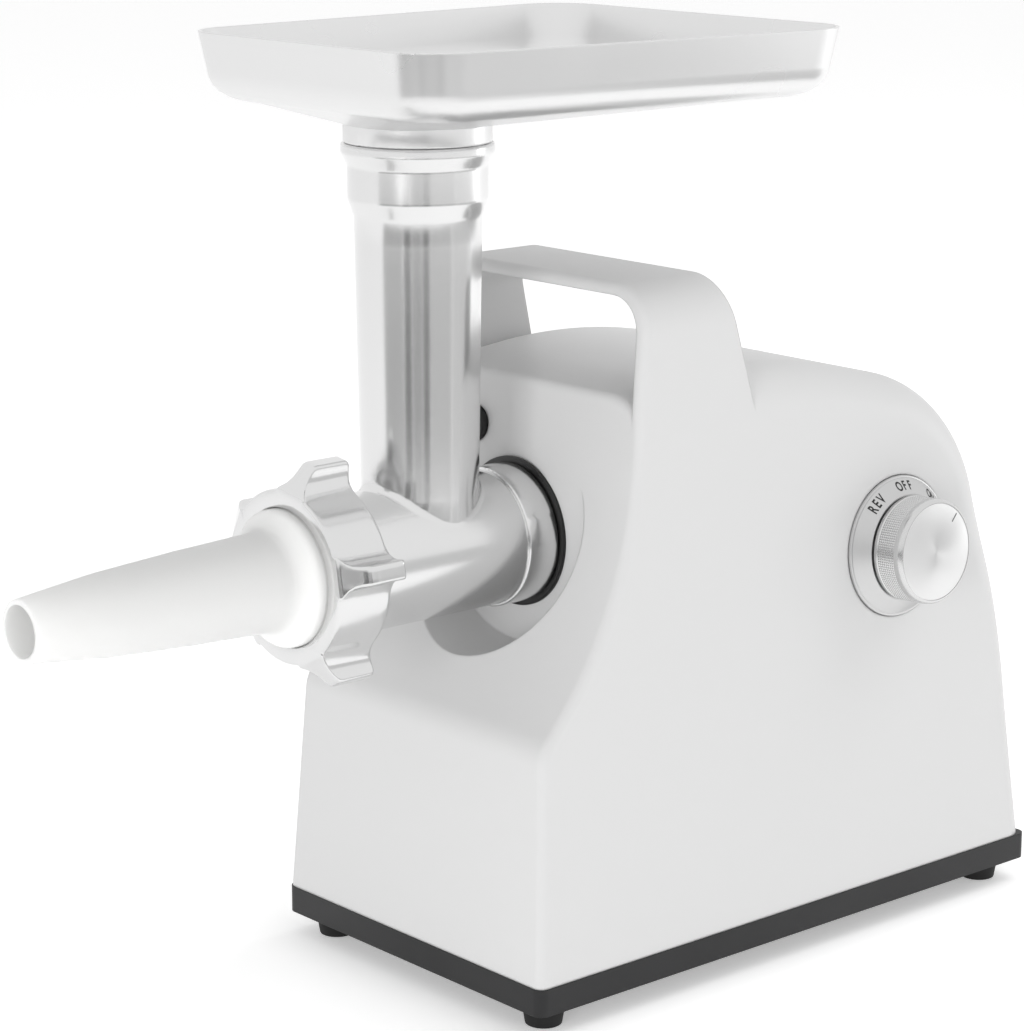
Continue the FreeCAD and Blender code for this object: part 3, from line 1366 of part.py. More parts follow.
def bracket(name, plate_y, boss_y, arm_y, arm_length, *extra):
    """An end plate of the motor: a bearing boss, four arms to the stator and two vent windows."""
    plate = padded(f"{name}_plate", [rectangle(d.stator_width / 2, d.bracket_height / 2, d.stator_corner)],
                   d.bracket_thickness, at=on_motor(plate_y), turn="+Y")
    window_half = d.bracket_height / 5
    add_pocket(plate, [rectangle(window_half / 2, window_half, d.holder_wall, sx * d.stator_bore, 0)
                       for sx in (-1, 1)],
               2 * d.bracket_thickness, height=d.bracket_thickness)
    boss = rod(f"{name}_boss", d.bearing_radius + d.bracket_thickness, d.bearing_width, on_motor(boss_y),
               "+Y")
    arms = [rod(f"{name}_arm_{i}", d.bracket_arm / 2, arm_length, on_motor(arm_y, x, z), "+Y")
            for i, (x, z) in enumerate(bolt_places)]
    holes = [rod(f"{name}_hole_{i}", screw_hole, d.base_length, on_motor(-d.base_length / 2, x, z), "+Y")
             for i, (x, z) in enumerate(bolt_places)]
    seat = rod(f"{name}_seat", d.bearing_radius + d.seat_gap, d.base_length, on_motor(-d.base_length / 2),
               "+Y")
    return cut(name, fuse(f"{name}_solid", plate, boss, *arms, *extra), seat, *holes)


brush_y = commutator_y + d.commutator_length / 2
brush_start = d.commutator_radius + d.run_gap
holder_start = brush_start + 2
holder_end = holder_start + d.holder_length
holder_half = d.brush_width / 2 + d.plug_gap + d.holder_wall
holder_height = d.brush_height / 2 + d.plug_gap + d.holder_wall


def brush_box(name, start, end, half_y, half_z, side):
    """A block along the brush's line, on one side of the commutator."""
    low = start if side > 0 else -end
    return box(name, on_motor(brush_y - half_y, low, -half_z), (end - start, 2 * half_y, 2 * half_z))


holder_feet = [box(f"holder_foot_{i}", on_motor(brush_y + holder_half, low, -holder_height),
                   (d.holder_length / 2, d.rear_bracket_y - brush_y - holder_half, 2 * holder_height))
               for i, low in enumerate((holder_start, -holder_start - d.holder_length / 2))]
finished(bracket("front_end", d.front_bracket_y, d.front_bracket_y, d.front_bracket_y + d.bracket_thickness,
                 d.stator_y - d.front_bracket_y - d.bracket_thickness), "front_bracket")
finished(bracket("rear_end", d.rear_bracket_y, rear_bearing_y, stator_end, d.rear_bracket_y - stator_end,
                 *holder_feet), "rear_bracket")
holders, brushes, brush_stops = [], [], []
for side, name in ((1, "right"), (-1, "left")):
    holders.append(cut(f"{name}_holder",
                       brush_box(f"{name}_holder_block", holder_start, holder_end, holder_half,
                                 holder_height, side),
                       brush_box(f"{name}_holder_bore", holder_start - 1, holder_end + 1,
                                 d.brush_width / 2 + d.plug_gap, d.brush_height / 2 + d.plug_gap, side)))
    brush_end = brush_start + d.brush_length
    brushes.append(brush_box(f"{name}_brush", brush_start, brush_end, d.brush_width / 2, d.brush_height / 2,
                             side))
    stop = brush_box(f"{name}_stop", brush_end, holder_end, d.brush_width / 4, d.brush_height / 4, side)
    lid = brush_box(f"{name}_lid", holder_end, holder_end + d.holder_wall, holder_half, holder_height, side)
    brush_stops.append(fuse(f"{name}_cap", stop, lid))
finished(group("holder_pair", *holders), "brush_holders")
finished(group("brush_pair", *brushes), "carbon_brushes")
finished(group("brush_cap_pair", *brush_stops), "brush_caps")
bracket_rear = d.rear_bracket_y + d.bracket_thickness
finished(group("motor_bolts", *[
    screw(f"motor_bolt_{i}", bracket_rear - d.front_bracket_y - 1, on_motor(bracket_rear, x, z), "+Y")
    for i, (x, z) in enumerate(bolt_places)
]), "motor_screws")

# Grinder head: one casting of barrel, spigot with bayonet lugs and feed tube, bored right through.
collar_rear = socket_front - d.collar_gap
barrel_length = collar_rear - d.barrel_front
back_wall_front = collar_rear - d.back_wall
barrel = turned("barrel", [
    (0, 0), (d.thread_radius, 0, d.thread_edge), (d.thread_radius, d.thread_length),
    (d.barrel_radius, d.thread_length + d.thread_runout),
    (d.barrel_radius, barrel_length - d.collar_length),
    (d.collar_radius, barrel_length - d.collar_length, d.collar_edge),
    (d.collar_radius, barrel_length, d.collar_edge), (d.spigot_radius, barrel_length),
    (d.spigot_radius, spigot_rear - d.barrel_front), (0, spigot_rear - d.barrel_front),
], (0, d.barrel_front, d.axis_z), "+Y")
tube_height = d.lip_top - d.axis_z
tube = turned("feed_tube", [
    (0, 0), (d.tube_foot_radius, 0), (d.tube_radius, d.tube_top - d.axis_z),
    (d.tube_collar_radius, d.collar_z - d.axis_z, d.tube_collar_round),
    (d.tube_collar_radius, d.lip_low - d.axis_z, d.lip_neck_round),
    (d.lip_radius, d.lip_low + d.lip_flare - d.axis_z, d.lip_low_round),
    (d.lip_radius, tube_height, d.lip_top_round), (0, tube_height),
], (0, d.tube_y, d.axis_z))
lugs = three_lugs("lug", d.lug_radius, d.lug_width / 2, d.lug_thickness, lug_front, 0)
head_solid = fuse("head_solid", barrel, tube)


def tube_root(edge):
    """The saddle line where the feed tube meets the barrel."""
    middle = middle_of(edge)
    from_axis = math.hypot(middle.x, middle.z - d.axis_z.number)
    from_tube = math.hypot(middle.x, middle.y - d.tube_y.number)
    return abs(from_axis - d.barrel_radius.number) < 0.2 and abs(from_tube - d.tube_foot_radius.number) < 1.5


head_cast = rounded_edges("head_cast", head_solid, [(tube_root, d.tube_fillet, d.tube_fillet)])
journal_hole = d.auger_journal + d.run_gap
head_bores = [
    rod("barrel_bore", d.barrel_bore, back_wall_front - d.barrel_front + d.overrun,
        (0, d.barrel_front - d.overrun, d.axis_z), "+Y"),
    rod("spacer_seat", d.spacer_radius + d.plug_gap, d.spacer_thickness + d.overrun,
        (0, d.barrel_front - d.overrun, d.axis_z), "+Y"),
    rod("journal_hole", journal_hole, 3 * d.back_wall, (0, back_wall_front - d.back_wall, d.axis_z), "+Y"),
    rod("spigot_bore", d.spigot_bore, spigot_rear - collar_rear + d.overrun, (0, collar_rear, d.axis_z),
        "+Y"),
    rod("tube_bore", d.tube_bore, tube_height + d.overrun, (0, d.tube_y, d.axis_z)),
    rod("tray_seat", d.tray_seat_bore, d.tray_seat_depth + 1, (0, d.tube_y, d.lip_top - d.tray_seat_depth)),
]
finished(cut("head_cut", fuse("head_lugged", head_cast, lugs), *head_bores), "grinder_head")
washer_front = back_wall_front - d.washer_thickness
finished(sleeve("washer", d.auger_journal + d.plug_gap, d.washer_radius, d.washer_thickness,
                (0, washer_front, d.axis_z)), "thrust_washer")

# Auger: a screw flight wound on a round root, with a front pin, a journal and a square drive tail.
auger_length = washer_front - d.auger_front
journal_length = collar_rear - washer_front
tail_end = shaft_front + d.drive_depth - washer_front
pin_length = d.auger_front - d.barrel_front
auger = new_body("screw_auger")
add_pad(auger, [], auger_length, [(0, 0, d.auger_root)])
add_pad(auger, [], journal_length, [(0, 0, d.auger_journal)], height=-journal_length)
add_pad(auger, [rectangle(drive_half, drive_half)], tail_end - journal_length, height=-tail_end)
add_pad(auger, [], pin_length, [(0, 0, d.auger_pin_radius)], height=auger_length)
flight_sketch = new_sketch(auger, "XZ")
flight_low = d.flight_thickness / 2 + d.flight_margin
draw(flight_sketch, [
    (d.auger_root - d.flight_sink, flight_low - d.flight_thickness / 2),
    (d.auger_radius, flight_low - d.flight_thickness / 4),
    (d.auger_radius, flight_low + d.flight_thickness / 4),
    (d.auger_root - d.flight_sink, flight_low + d.flight_thickness / 2),
])
wound(auger, flight_sketch, d.auger_pitch, auger_length - d.flight_thickness - 2 * d.flight_margin)
finished(place(auger, (0, washer_front, d.axis_z), "-Y"), "auger")
spacer = new_body("spacer_ring")
spacer_bore = d.auger_radius - d.spacer_lip
add_pad(spacer, [], d.spacer_thickness, [(0, 0, d.spacer_radius), (0, 0, spacer_bore)])
spoke_half = (spacer_bore - d.auger_pin_radius) / 2
add_pad(spacer, [], d.spacer_thickness, [(0, 0, d.spacer_hub), (0, 0, d.auger_pin_radius + d.run_gap)])
spoke = add_pad(spacer, [rectangle(spoke_half - d.spoke_trim, d.spacer_spoke / 2, 0,
                                   spacer_bore - spoke_half + d.spoke_sink, 0)],
                d.spacer_thickness)
repeated(spacer, spoke, 3)
finished(place(spacer, (0, d.barrel_front, d.axis_z), "+Y"), "front_spacer")

# Ring nut: a tapered ring with five finger lugs that slope back from its front face.
nut_ring = turned("nut_ring", [
    (0, 0), (d.nut_radius, 0, 1.2), (d.nut_rear_radius, d.nut_length, 0.8), (0, d.nut_length),
], (0, d.nut_front, d.axis_z), "+Y")
lug_foot = d.nut_opening - d.nut_lip
flare_radius = d.lug_flank_radius - d.lug_flare + d.lug_flank_half
nut_fingers = new_body("nut_fingers")
finger = add_pad(nut_fingers, [[
    (lug_foot, -d.lug_flank_half), (flare_radius, -d.lug_flare),
    (d.lug_flank_radius, -d.lug_flank_half, d.lug_flank_round),
    (d.lug_reach, -d.lug_tip_half, d.lug_tip_round),
    (d.lug_reach, d.lug_tip_half, d.lug_tip_round), (d.lug_flank_radius, d.lug_flank_half, d.lug_flank_round),
    (flare_radius, d.lug_flare), (lug_foot, d.lug_flank_half),
]], d.nut_length)
repeated(nut_fingers, finger, d.nut_lugs)
nut_turn = ALONG["+Y"].multiply(FreeCAD.Rotation(VZ, -d.lug_first_angle.number))
place(nut_fingers, (0, d.nut_front, d.axis_z), nut_turn)
lug_edge = d.lug_reach + d.plug_gap
finger_form = turned("finger_form", [
    (0, d.lug_rear_gap), (d.lug_front_reach, d.lug_rear_gap), (lug_edge, d.lug_slope, d.lug_tip_round),
    (lug_edge, d.nut_length - d.lug_rear_gap), (0, d.nut_length - d.lug_rear_gap),
], (0, d.nut_front, d.axis_z), "+Y")
thread_bore = d.thread_radius + d.plug_gap
finished(cut("nut_cut", fuse("nut_solid", nut_ring, common("nut_lobes", nut_fingers, finger_form)),
             rod("nut_mouth", d.nut_opening, 2 * d.nut_length, (0, d.nut_front - 1, d.axis_z), "+Y"),
             rod("nut_thread", thread_bore, d.nut_length, (0, d.nut_front + d.nut_lip, d.axis_z), "+Y")),
             "ring_nut")

# Stuffing tube: a white horn whose flange is clamped between the barrel and the ring nut.
horn_length = d.barrel_front - d.horn_tip_y
shoulder = d.horn_flange + d.horn_boss
finished(turned("horn", [
    (d.barrel_bore, 0), (d.horn_flange_radius, 0), (d.horn_flange_radius, d.horn_flange),
    (d.horn_boss_radius, d.horn_flange), (d.horn_boss_radius, shoulder, d.horn_boss_round),
    (d.horn_root_radius + d.horn_root_flare, shoulder + d.horn_root_run, d.horn_root_round),
    (d.horn_body_radius, d.horn_body_at, d.horn_body_round),
    (d.horn_middle_radius, d.horn_middle_at, d.horn_middle_round),
    (d.horn_tip_radius, horn_length, d.horn_tip_round),
    (d.horn_tip_radius - d.horn_wall, horn_length), (d.horn_middle_radius - d.horn_wall, d.horn_middle_at),
    (d.horn_body_radius - d.horn_wall, d.horn_body_at),
    (d.horn_root_radius + d.horn_root_flare - d.horn_wall, shoulder + d.horn_inner_run),
    (d.barrel_bore, shoulder - d.horn_wall),
], (0, d.barrel_front, d.axis_z), "-Y"), "stuffing_tube")

# Hopper tray: a shallow pressed tray whose floor falls to a neck that plugs into the feed tube.
def tray_section(name, z, inset, corner):
    """A rounded outline across the tray at a height, narrower at the front than at the rear."""
    front, rear = d.tray_front + inset, d.tray_rear - inset
    front_half, rear_half = d.tray_front_half - inset, d.tray_rear_half - inset
    sketch = doc.addObject("Sketcher::SketchObject", name)
    draw(sketch, [
        (-front_half, front, corner), (front_half, front, corner),
        (rear_half, rear, corner), (-rear_half, rear, corner),
    ])
    return place(sketch, (0, 0, z))


def neck_section(name, z, radius):
    """A nearly round section about the feed tube's axis."""
    sketch = doc.addObject("Sketcher::SketchObject", name)
    draw(sketch, rectangle(radius, radius, radius - 0.05, 0, d.tube_y))
    return place(sketch, (0, 0, z))


def tray_loft(name, sections):
    loft = doc.addObject("Part::Loft", name)
    loft.Sections = sections
    loft.Solid = True
    loft.Ruled = True
    return loft


bend_drop = d.tray_side_z - d.tray_floor_z
bend_width = d.tray_floor_inset - d.tray_side_inset


def tray_form(name, thickness, rim_rise):
    """The tray's outside, or its inside when the sheet's thickness is given."""
    sections = [tray_section(f"{name}_rim", d.tray_z + rim_rise, thickness, d.tray_corner - thickness)]
    for i in range(SIZES["tray_bend_steps"] + 1):
        angle = 90.0 * i / SIZES["tray_bend_steps"]
        inset = d.tray_side_inset + bend_width * (1 - trig("cos", angle)) + thickness
        height = d.tray_side_z - bend_drop * trig("sin", angle) + thickness
        sections.append(tray_section(f"{name}_bend_{i}", height, inset, d.tray_corner - inset / 3))
    sections.append(neck_section(f"{name}_neck", d.tray_neck_z + thickness, d.tray_neck_radius - thickness))
    return tray_loft(name, sections)


tray_shell = tray_form("tray_outside", as_dim(0), 0)
tray_hollow = tray_form("tray_inside", d.tray_sheet, 0.01)
neck_bore = d.tray_spigot_radius - d.tray_sheet
neck = turned("tray_neck", [
    (0, -d.tray_spigot), (d.tray_spigot_radius, -d.tray_spigot, 0.5), (d.tray_spigot_radius, 0),
    (d.tray_neck_radius, 0, 0.8), (d.tray_neck_radius, d.tray_neck_z + d.tray_sheet - d.lip_top),
    (0, d.tray_neck_z + d.tray_sheet - d.lip_top),
], (0, d.tube_y, d.lip_top))
finished(cut("tray_cut", fuse("tray_solid", tray_shell, neck), tray_hollow,
             rod("neck_bore", neck_bore, 3 * d.tray_spigot, (0, d.tube_y, d.lip_top - 1.5 * d.tray_spigot))),
             "hopper_tray")

# Check every piece, then write one file for each.
doc.recompute()
for obj in doc.Objects:
    if "Invalid" in obj.State or "Error" in obj.State:
        raise RuntimeError(f"{obj.Name} did not build: {obj.State}")
os.makedirs("parts", exist_ok=True)
for node in NODES:
    if node.Shape.isNull() or not node.Shape.isValid():
        raise RuntimeError(f"{node.Label} has no valid shape")
for node in NODES:
    node.Shape.exportStep(f"parts/{node.Label}.step")
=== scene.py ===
import json
import math

import bmesh
import bpy
from mathutils import Matrix, Vector


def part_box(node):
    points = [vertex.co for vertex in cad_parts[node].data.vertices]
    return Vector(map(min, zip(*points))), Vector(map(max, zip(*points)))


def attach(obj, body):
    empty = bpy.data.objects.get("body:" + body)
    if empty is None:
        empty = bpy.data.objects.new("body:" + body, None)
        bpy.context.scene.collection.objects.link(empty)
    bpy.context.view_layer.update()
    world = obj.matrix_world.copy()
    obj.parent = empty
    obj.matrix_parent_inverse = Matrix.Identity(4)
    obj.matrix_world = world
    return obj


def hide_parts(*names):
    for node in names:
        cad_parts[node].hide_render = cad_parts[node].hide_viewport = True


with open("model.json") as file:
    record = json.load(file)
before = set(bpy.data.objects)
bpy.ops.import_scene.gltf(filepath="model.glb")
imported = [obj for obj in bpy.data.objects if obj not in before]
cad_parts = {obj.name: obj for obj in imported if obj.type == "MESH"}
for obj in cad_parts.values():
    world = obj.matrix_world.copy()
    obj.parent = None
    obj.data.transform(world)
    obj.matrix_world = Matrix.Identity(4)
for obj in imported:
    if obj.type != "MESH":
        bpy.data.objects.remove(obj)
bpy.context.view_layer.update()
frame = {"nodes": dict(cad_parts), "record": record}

# Base plate: a shallow injection-moulded ABS tray in charcoal, screwed up into the housing.
# Spark-eroded mould grain gives it a fine even dullness, and its edges are softly broken.
MM = 0.001
WELD_DISTANCE = 0.002
SMOOTH_ANGLE = 32
DRIFT_SCALE = 12.0  # per metre: the gloss changes slowly, about every 80 mm
nodes = frame["nodes"]


def linear(code):
    """An sRGB hex colour as linear RGBA."""
    parts = [int(code[i:i + 2], 16) / 255 for i in (1, 3, 5)]
    return [c / 12.92 if c <= 0.04045 else ((c + 0.055) / 1.055) ** 2.4 for c in parts] + [1.0]


def add(tree, kind, inputs=None, **settings):
    """One shader or geometry node with its settings, its fixed values and its links."""
    node = tree.nodes.new(kind)
    for key, value in settings.items():
        setattr(node, key, value)
    for key, value in (inputs or {}).items():
        if isinstance(value, bpy.types.NodeSocket):
            tree.links.new(value, node.inputs[key])
        else:
            node.inputs[key].default_value = value
    return node


def start_finish(name, colour, roughness, **sockets):
    """A new surface finish: its material, its node tree and its shader."""
    material = bpy.data.materials.new(name)
    material.use_nodes = True
    shader = material.node_tree.nodes["Principled BSDF"]
    shader.inputs["Base Color"].default_value = linear(colour)
    shader.inputs["Roughness"].default_value = roughness
    for key, value in sockets.items():
        shader.inputs[key.replace("_", " ")].default_value = value
    return material, material.node_tree, shader


def grain(tree, shader, size_mm, depth_mm, rough, edge_mm=0.0, stretch=(1, 1, 1)):
    """Surface grain of a size in millimetres, a drift of gloss, and edges worn round over a width."""
    spot = add(tree, "ShaderNodeTexCoord").outputs["Object"]
    along = add(tree, "ShaderNodeMapping", {"Vector": spot, "Scale": stretch}).outputs["Vector"]
    fine = add(tree, "ShaderNodeTexNoise", {"Vector": along, "Scale": 1 / (size_mm * MM), "Detail": 3.0})
    broad = add(tree, "ShaderNodeTexNoise", {"Vector": spot, "Scale": DRIFT_SCALE, "Detail": 4.0})
    gloss = add(tree, "ShaderNodeMapRange", {"Value": broad.outputs["Fac"], "From Min": 0.3, "From Max": 0.7,
                                             "To Min": rough[0], "To Max": rough[1]})
    bump = add(tree, "ShaderNodeBump", {"Height": fine.outputs["Fac"], "Distance": depth_mm * MM,
                                        "Strength": 0.6})
    if edge_mm:
        worn = add(tree, "ShaderNodeBevel", {"Radius": edge_mm * MM}, samples=6)
        tree.links.new(worn.outputs["Normal"], bump.inputs["Normal"])
    tree.links.new(gloss.outputs["Result"], shader.inputs["Roughness"])
    tree.links.new(bump.outputs["Normal"], shader.inputs["Normal"])


def smooth_group(angle):
    """Geometry nodes that shade a mesh smooth, apart from edges sharper than an angle."""
    name = f"smooth_below_{angle}"
    if name in bpy.data.node_groups:
        return bpy.data.node_groups[name]
    tree = bpy.data.node_groups.new(name, "GeometryNodeTree")
    tree.interface.new_socket(name="Geometry", in_out="INPUT", socket_type="NodeSocketGeometry")
    tree.interface.new_socket(name="Geometry", in_out="OUTPUT", socket_type="NodeSocketGeometry")
    mesh_in = add(tree, "NodeGroupInput").outputs["Geometry"]
    bend = add(tree, "GeometryNodeInputMeshEdgeAngle").outputs["Unsigned Angle"]
    soft = add(tree, "FunctionNodeCompare", {"A": bend, "B": math.radians(angle)}, operation="LESS_THAN")
    faces = add(tree, "GeometryNodeSetShadeSmooth", {"Geometry": mesh_in, "Shade Smooth": True},
                domain="FACE")
    edges = add(tree, "GeometryNodeSetShadeSmooth", {"Geometry": faces.outputs["Geometry"],
                                                     "Shade Smooth": soft.outputs["Result"]}, domain="EDGE")
    add(tree, "NodeGroupOutput", {"Geometry": edges.outputs["Geometry"]})
    return tree


def dress(names, material, angle=SMOOTH_ANGLE):
    """Give CAD nodes a finish, weld their triangles and shade their curves smooth."""
    for name in names:
        node = nodes[name]
        node.data.materials.clear()
        node.data.materials.append(material)
        weld = node.modifiers.new("weld", "WELD")
        weld.merge_threshold = WELD_DISTANCE * MM
        shade = node.modifiers.new("shade", "NODES")
        shade.node_group = smooth_group(angle)


charcoal_abs, tree, shader = start_finish("charcoal_moulded_abs", "#1C1C1D", 0.5, Specular_IOR_Level=0.4)
grain(tree, shader, size_mm=0.9, depth_mm=0.05, rough=(0.42, 0.56), edge_mm=0.6)
dress(["base_plate"], charcoal_abs)

# Rubber feet: moulded pads of black nitrile rubber, pushed up into the base plate by their stems.
# The rubber is dull all over, and its edges are softly rounded.
foot_rubber, tree, shader = start_finish("black_moulded_rubber", "#151515", 0.8)
grain(tree, shader, size_mm=0.6, depth_mm=0.06, rough=(0.7, 0.88), edge_mm=0.8)
dress(["rubber_feet"], foot_rubber)

# Base and inlet screws: cold-headed steel, zinc plated, with a rounded head and a cross recess.
# They are driven up into the housing's posts and through the inlet's flange.
SCREW_RADIUS, SCREW_HEAD_RADIUS, SCREW_HEAD, SCREW_SIDES = 1.7, 3.2, 2.2, 48
SCREW_DOME = ((SCREW_HEAD_RADIUS, 0.9), (3.0, 1.4), (2.5, 1.85), (2.1, 2.05))  # (radius, height)
RECESS_REACH, RECESS_HALF, RECESS_DEPTH, RECESS_MOUTH, RECESS_TAPER = 1.8, 0.45, 1.2, 2.1, 0.6
INLET_SCREW_X, INLET_SCREW_LENGTH = 20.0, 6.0
MERGE_DISTANCE = 1e-7
NEARLY_NONE = 1e-6


def ring(radius, height, count):
    """Points round an axis at a height, in metres; the radius in millimetres may change with the angle."""
    angles = [math.tau * i / count for i in range(count)]
    radii = [radius(angle) if callable(radius) else radius for angle in angles]
    return [Vector((r * math.cos(a), r * math.sin(a), height)) * MM for r, a in zip(radii, angles)]


def stacked(rings, closed=False, into=None):
    """Skin rings of points by extruding each to the next; the two ends are capped or joined."""
    mesh = into or bmesh.new()
    verts = [mesh.verts.new(point) for point in rings[0]]
    first = loop = [mesh.edges.new((verts[i - 1], vert)) for i, vert in enumerate(verts)]
    order = {vert: i for i, vert in enumerate(verts)}
    for points in rings[1:] + (rings[:1] if closed else []):
        made = bmesh.ops.extrude_edge_only(mesh, edges=loop)["geom"]
        fresh = {}
        for vert in (item for item in made if isinstance(item, bmesh.types.BMVert)):
            source = next(edge.other_vert(vert) for edge in vert.link_edges
                          if edge.other_vert(vert) in order)
            fresh[vert] = order[source]
            vert.co = points[order[source]]
        loop = [item for item in made
                if isinstance(item, bmesh.types.BMEdge) and set(item.verts) <= set(fresh)]
        order = fresh
    if closed:
        bmesh.ops.remove_doubles(mesh, verts=mesh.verts, dist=MERGE_DISTANCE)
    else:
        bmesh.ops.contextual_create(mesh, geom=first)
        bmesh.ops.contextual_create(mesh, geom=loop)
    bmesh.ops.recalc_face_normals(mesh, faces=mesh.faces)
    return mesh


def keep_piece(name, mesh, material, stand=Matrix(), angle=SMOOTH_ANGLE):
    """Turn a finished bmesh into an object that stands at the origin, with its place in its mesh."""
    bmesh.ops.transform(mesh, matrix=stand, verts=mesh.verts)
    data = bpy.data.meshes.new(name)
    mesh.to_mesh(data)
    mesh.free()
    data.materials.append(material)
    piece = bpy.data.objects.new(name, data)
    bpy.context.scene.collection.objects.link(piece)
    shade = piece.modifiers.new("shade", "NODES")
    shade.node_group = smooth_group(angle)
    return piece


def cross_recess(scale):
    """The outline of a cross-head recess, as a radius at each angle."""
    def reach(angle):
        across, along = abs(math.cos(angle)) + NEARLY_NONE, abs(math.sin(angle)) + NEARLY_NONE
        one = min(RECESS_REACH / across, RECESS_HALF / along)
        other = min(RECESS_HALF / across, RECESS_REACH / along)
        return scale * max(one, other)
    return reach


def screws(name, stands, length, body):
    """A set of screws as one piece; each stand puts a head's underside in its place."""
    mesh = bmesh.new()
    sections = [(SCREW_RADIUS, -length), (SCREW_RADIUS, 0), (SCREW_HEAD_RADIUS, 0), *SCREW_DOME,
                (cross_recess(1.0), RECESS_MOUTH), (cross_recess(RECESS_TAPER), SCREW_HEAD - RECESS_DEPTH)]
    for stand in stands:
        stacked([[stand @ point for point in ring(radius, height, SCREW_SIDES)]
                 for radius, height in sections], into=mesh)
    piece = keep_piece(name, mesh, bright_steel)
    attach(piece, body)
    return piece


def facing(spot, normal):
    """A stand whose own Z axis points along a normal."""
    return Matrix.Translation(spot) @ Vector(normal).to_track_quat("Z", "Y").to_matrix().to_4x4()


bright_steel, tree, shader = start_finish("zinc_plated_steel", "#B9BABC", 0.3, Metallic=1.0)
grain(tree, shader, size_mm=0.5, depth_mm=0.02, rough=(0.24, 0.38))
screws_low, screws_high = (Vector(corner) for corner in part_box("base_screws"))
inset = Vector((SCREW_HEAD_RADIUS * MM,) * 3)
places = [(x, y, screws_low.z + SCREW_HEAD * MM)
          for x in ((screws_low + inset).x, (screws_high - inset).x)
          for y in ((screws_low + inset).y, (screws_high - inset).y)]
base_screws = screws("base_screw_set", [facing(spot, (0, 0, -1)) for spot in places],
                     (screws_high.z - screws_low.z) / MM - SCREW_HEAD, "base")
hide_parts("base_screws")
record = frame["record"]
inlet = next(mount for mount in record["mounts"] if mount["name"] == "power_inlet")
inlet_spots = [Vector(inlet["pos_m"]) + Vector((side * INLET_SCREW_X * MM, 0, 0)) for side in (-1, 1)]
inlet_screws = screws("inlet_screw_set", [facing(spot, inlet["axis"]) for spot in inlet_spots],
                      INLET_SCREW_LENGTH, "base")
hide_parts("inlet_screws")

# Inner screws, axles, shafts, latch and spring: zinc-plated and ground steel with a fine even grain.
# They hold the gearbox, socket and motor together inside the housing.
dress(["socket_screws", "gearbox_screws", "motor_screws", "first_axle", "second_axle", "output_shaft",
       "rotor_shaft", "switch_spindle", "switch_nut", "lock_latch", "lock_spring"], bright_steel)

# Motor: stacked silicon-steel laminations, copper windings, carbon brushes and cast end brackets.
# The laminations show as bands along the stack and the windings as close turns of wire, both drawn
# coarser than the real sheets and wire so that they show.
LAMINATION_SCALE = 0.16  # per millimetre: a band about every 2 mm
WINDING_SCALE = 0.25  # per millimetre: a turn about every 1.5 mm
lamination, tree, shader = start_finish("stacked_laminations", "#55565A", 0.45, Metallic=0.8)
spot = add(tree, "ShaderNodeTexCoord").outputs["Object"]
bands = add(tree, "ShaderNodeTexWave", {"Vector": spot, "Scale": LAMINATION_SCALE / MM, "Distortion": 0.4},
            bands_direction="Y")
tint = add(tree, "ShaderNodeMixRGB", {"Fac": bands.outputs["Fac"], "Color1": linear("#3F4044"),
                                      "Color2": linear("#696A6E")})
tree.links.new(tint.outputs["Color"], shader.inputs["Base Color"])
bump = add(tree, "ShaderNodeBump", {"Height": bands.outputs["Fac"], "Distance": 0.1 * MM, "Strength": 0.5})
tree.links.new(bump.outputs["Normal"], shader.inputs["Normal"])
dress(["stator_core", "armature_core"], lamination)
copper_wire, tree, shader = start_finish("enamelled_copper_wire", "#A4512B", 0.32, Metallic=0.9)
spot = add(tree, "ShaderNodeTexCoord").outputs["Object"]
turns = add(tree, "ShaderNodeTexWave", {"Vector": spot, "Scale": WINDING_SCALE / MM, "Distortion": 1.5},
            bands_direction="DIAGONAL")
bump = add(tree, "ShaderNodeBump", {"Height": turns.outputs["Fac"], "Distance": 0.25 * MM, "Strength": 0.7})
tree.links.new(bump.outputs["Normal"], shader.inputs["Normal"])
dress(["field_coils", "armature_windings", "commutator"], copper_wire)
sintered_bronze, tree, shader = start_finish("sintered_bronze", "#9C7A45", 0.42, Metallic=1.0)
grain(tree, shader, size_mm=0.4, depth_mm=0.03, rough=(0.36, 0.5))
dress(["output_bush_front", "output_bush_rear", "motor_bearings", "brush_holders"], sintered_bronze)
zinc_casting, tree, shader = start_finish("zinc_pressure_casting", "#8E9092", 0.48, Metallic=0.9)
grain(tree, shader, size_mm=0.8, depth_mm=0.06, rough=(0.4, 0.58))
dress(["gearbox_housing", "gearbox_cover", "front_bracket", "rear_bracket"], zinc_casting)
brush_carbon, tree, shader = start_finish("pressed_carbon", "#202022", 0.6)
grain(tree, shader, size_mm=0.3, depth_mm=0.03, rough=(0.5, 0.7))
dress(["carbon_brushes"], brush_carbon)

# Gear train: cut and case-hardened steel gears with a film of grease.
# The grease gives the dark steel an uneven, wet gloss.
gear_steel, tree, shader = start_finish("hardened_gear_steel", "#8B8C8F", 0.34, Metallic=1.0)
grain(tree, shader, size_mm=0.7, depth_mm=0.03, rough=(0.26, 0.42))
dress(["output_gear", "second_gear", "second_pinion", "first_gear", "first_pinion", "motor_pinion"],
      gear_steel)

# Black mouldings: the bayonet socket, lock button, switch, inlet, fan and brush caps in black nylon.
# A fine satin grain keeps their edges readable against the white housing.
black_nylon, tree, shader = start_finish("black_moulded_nylon", "#0D0D0D", 0.46)
grain(tree, shader, size_mm=0.8, depth_mm=0.04, rough=(0.36, 0.5), edge_mm=0.5)
dress(["head_socket", "lock_button", "rotary_switch", "power_inlet", "cooling_fan", "brush_caps"],
      black_nylon)

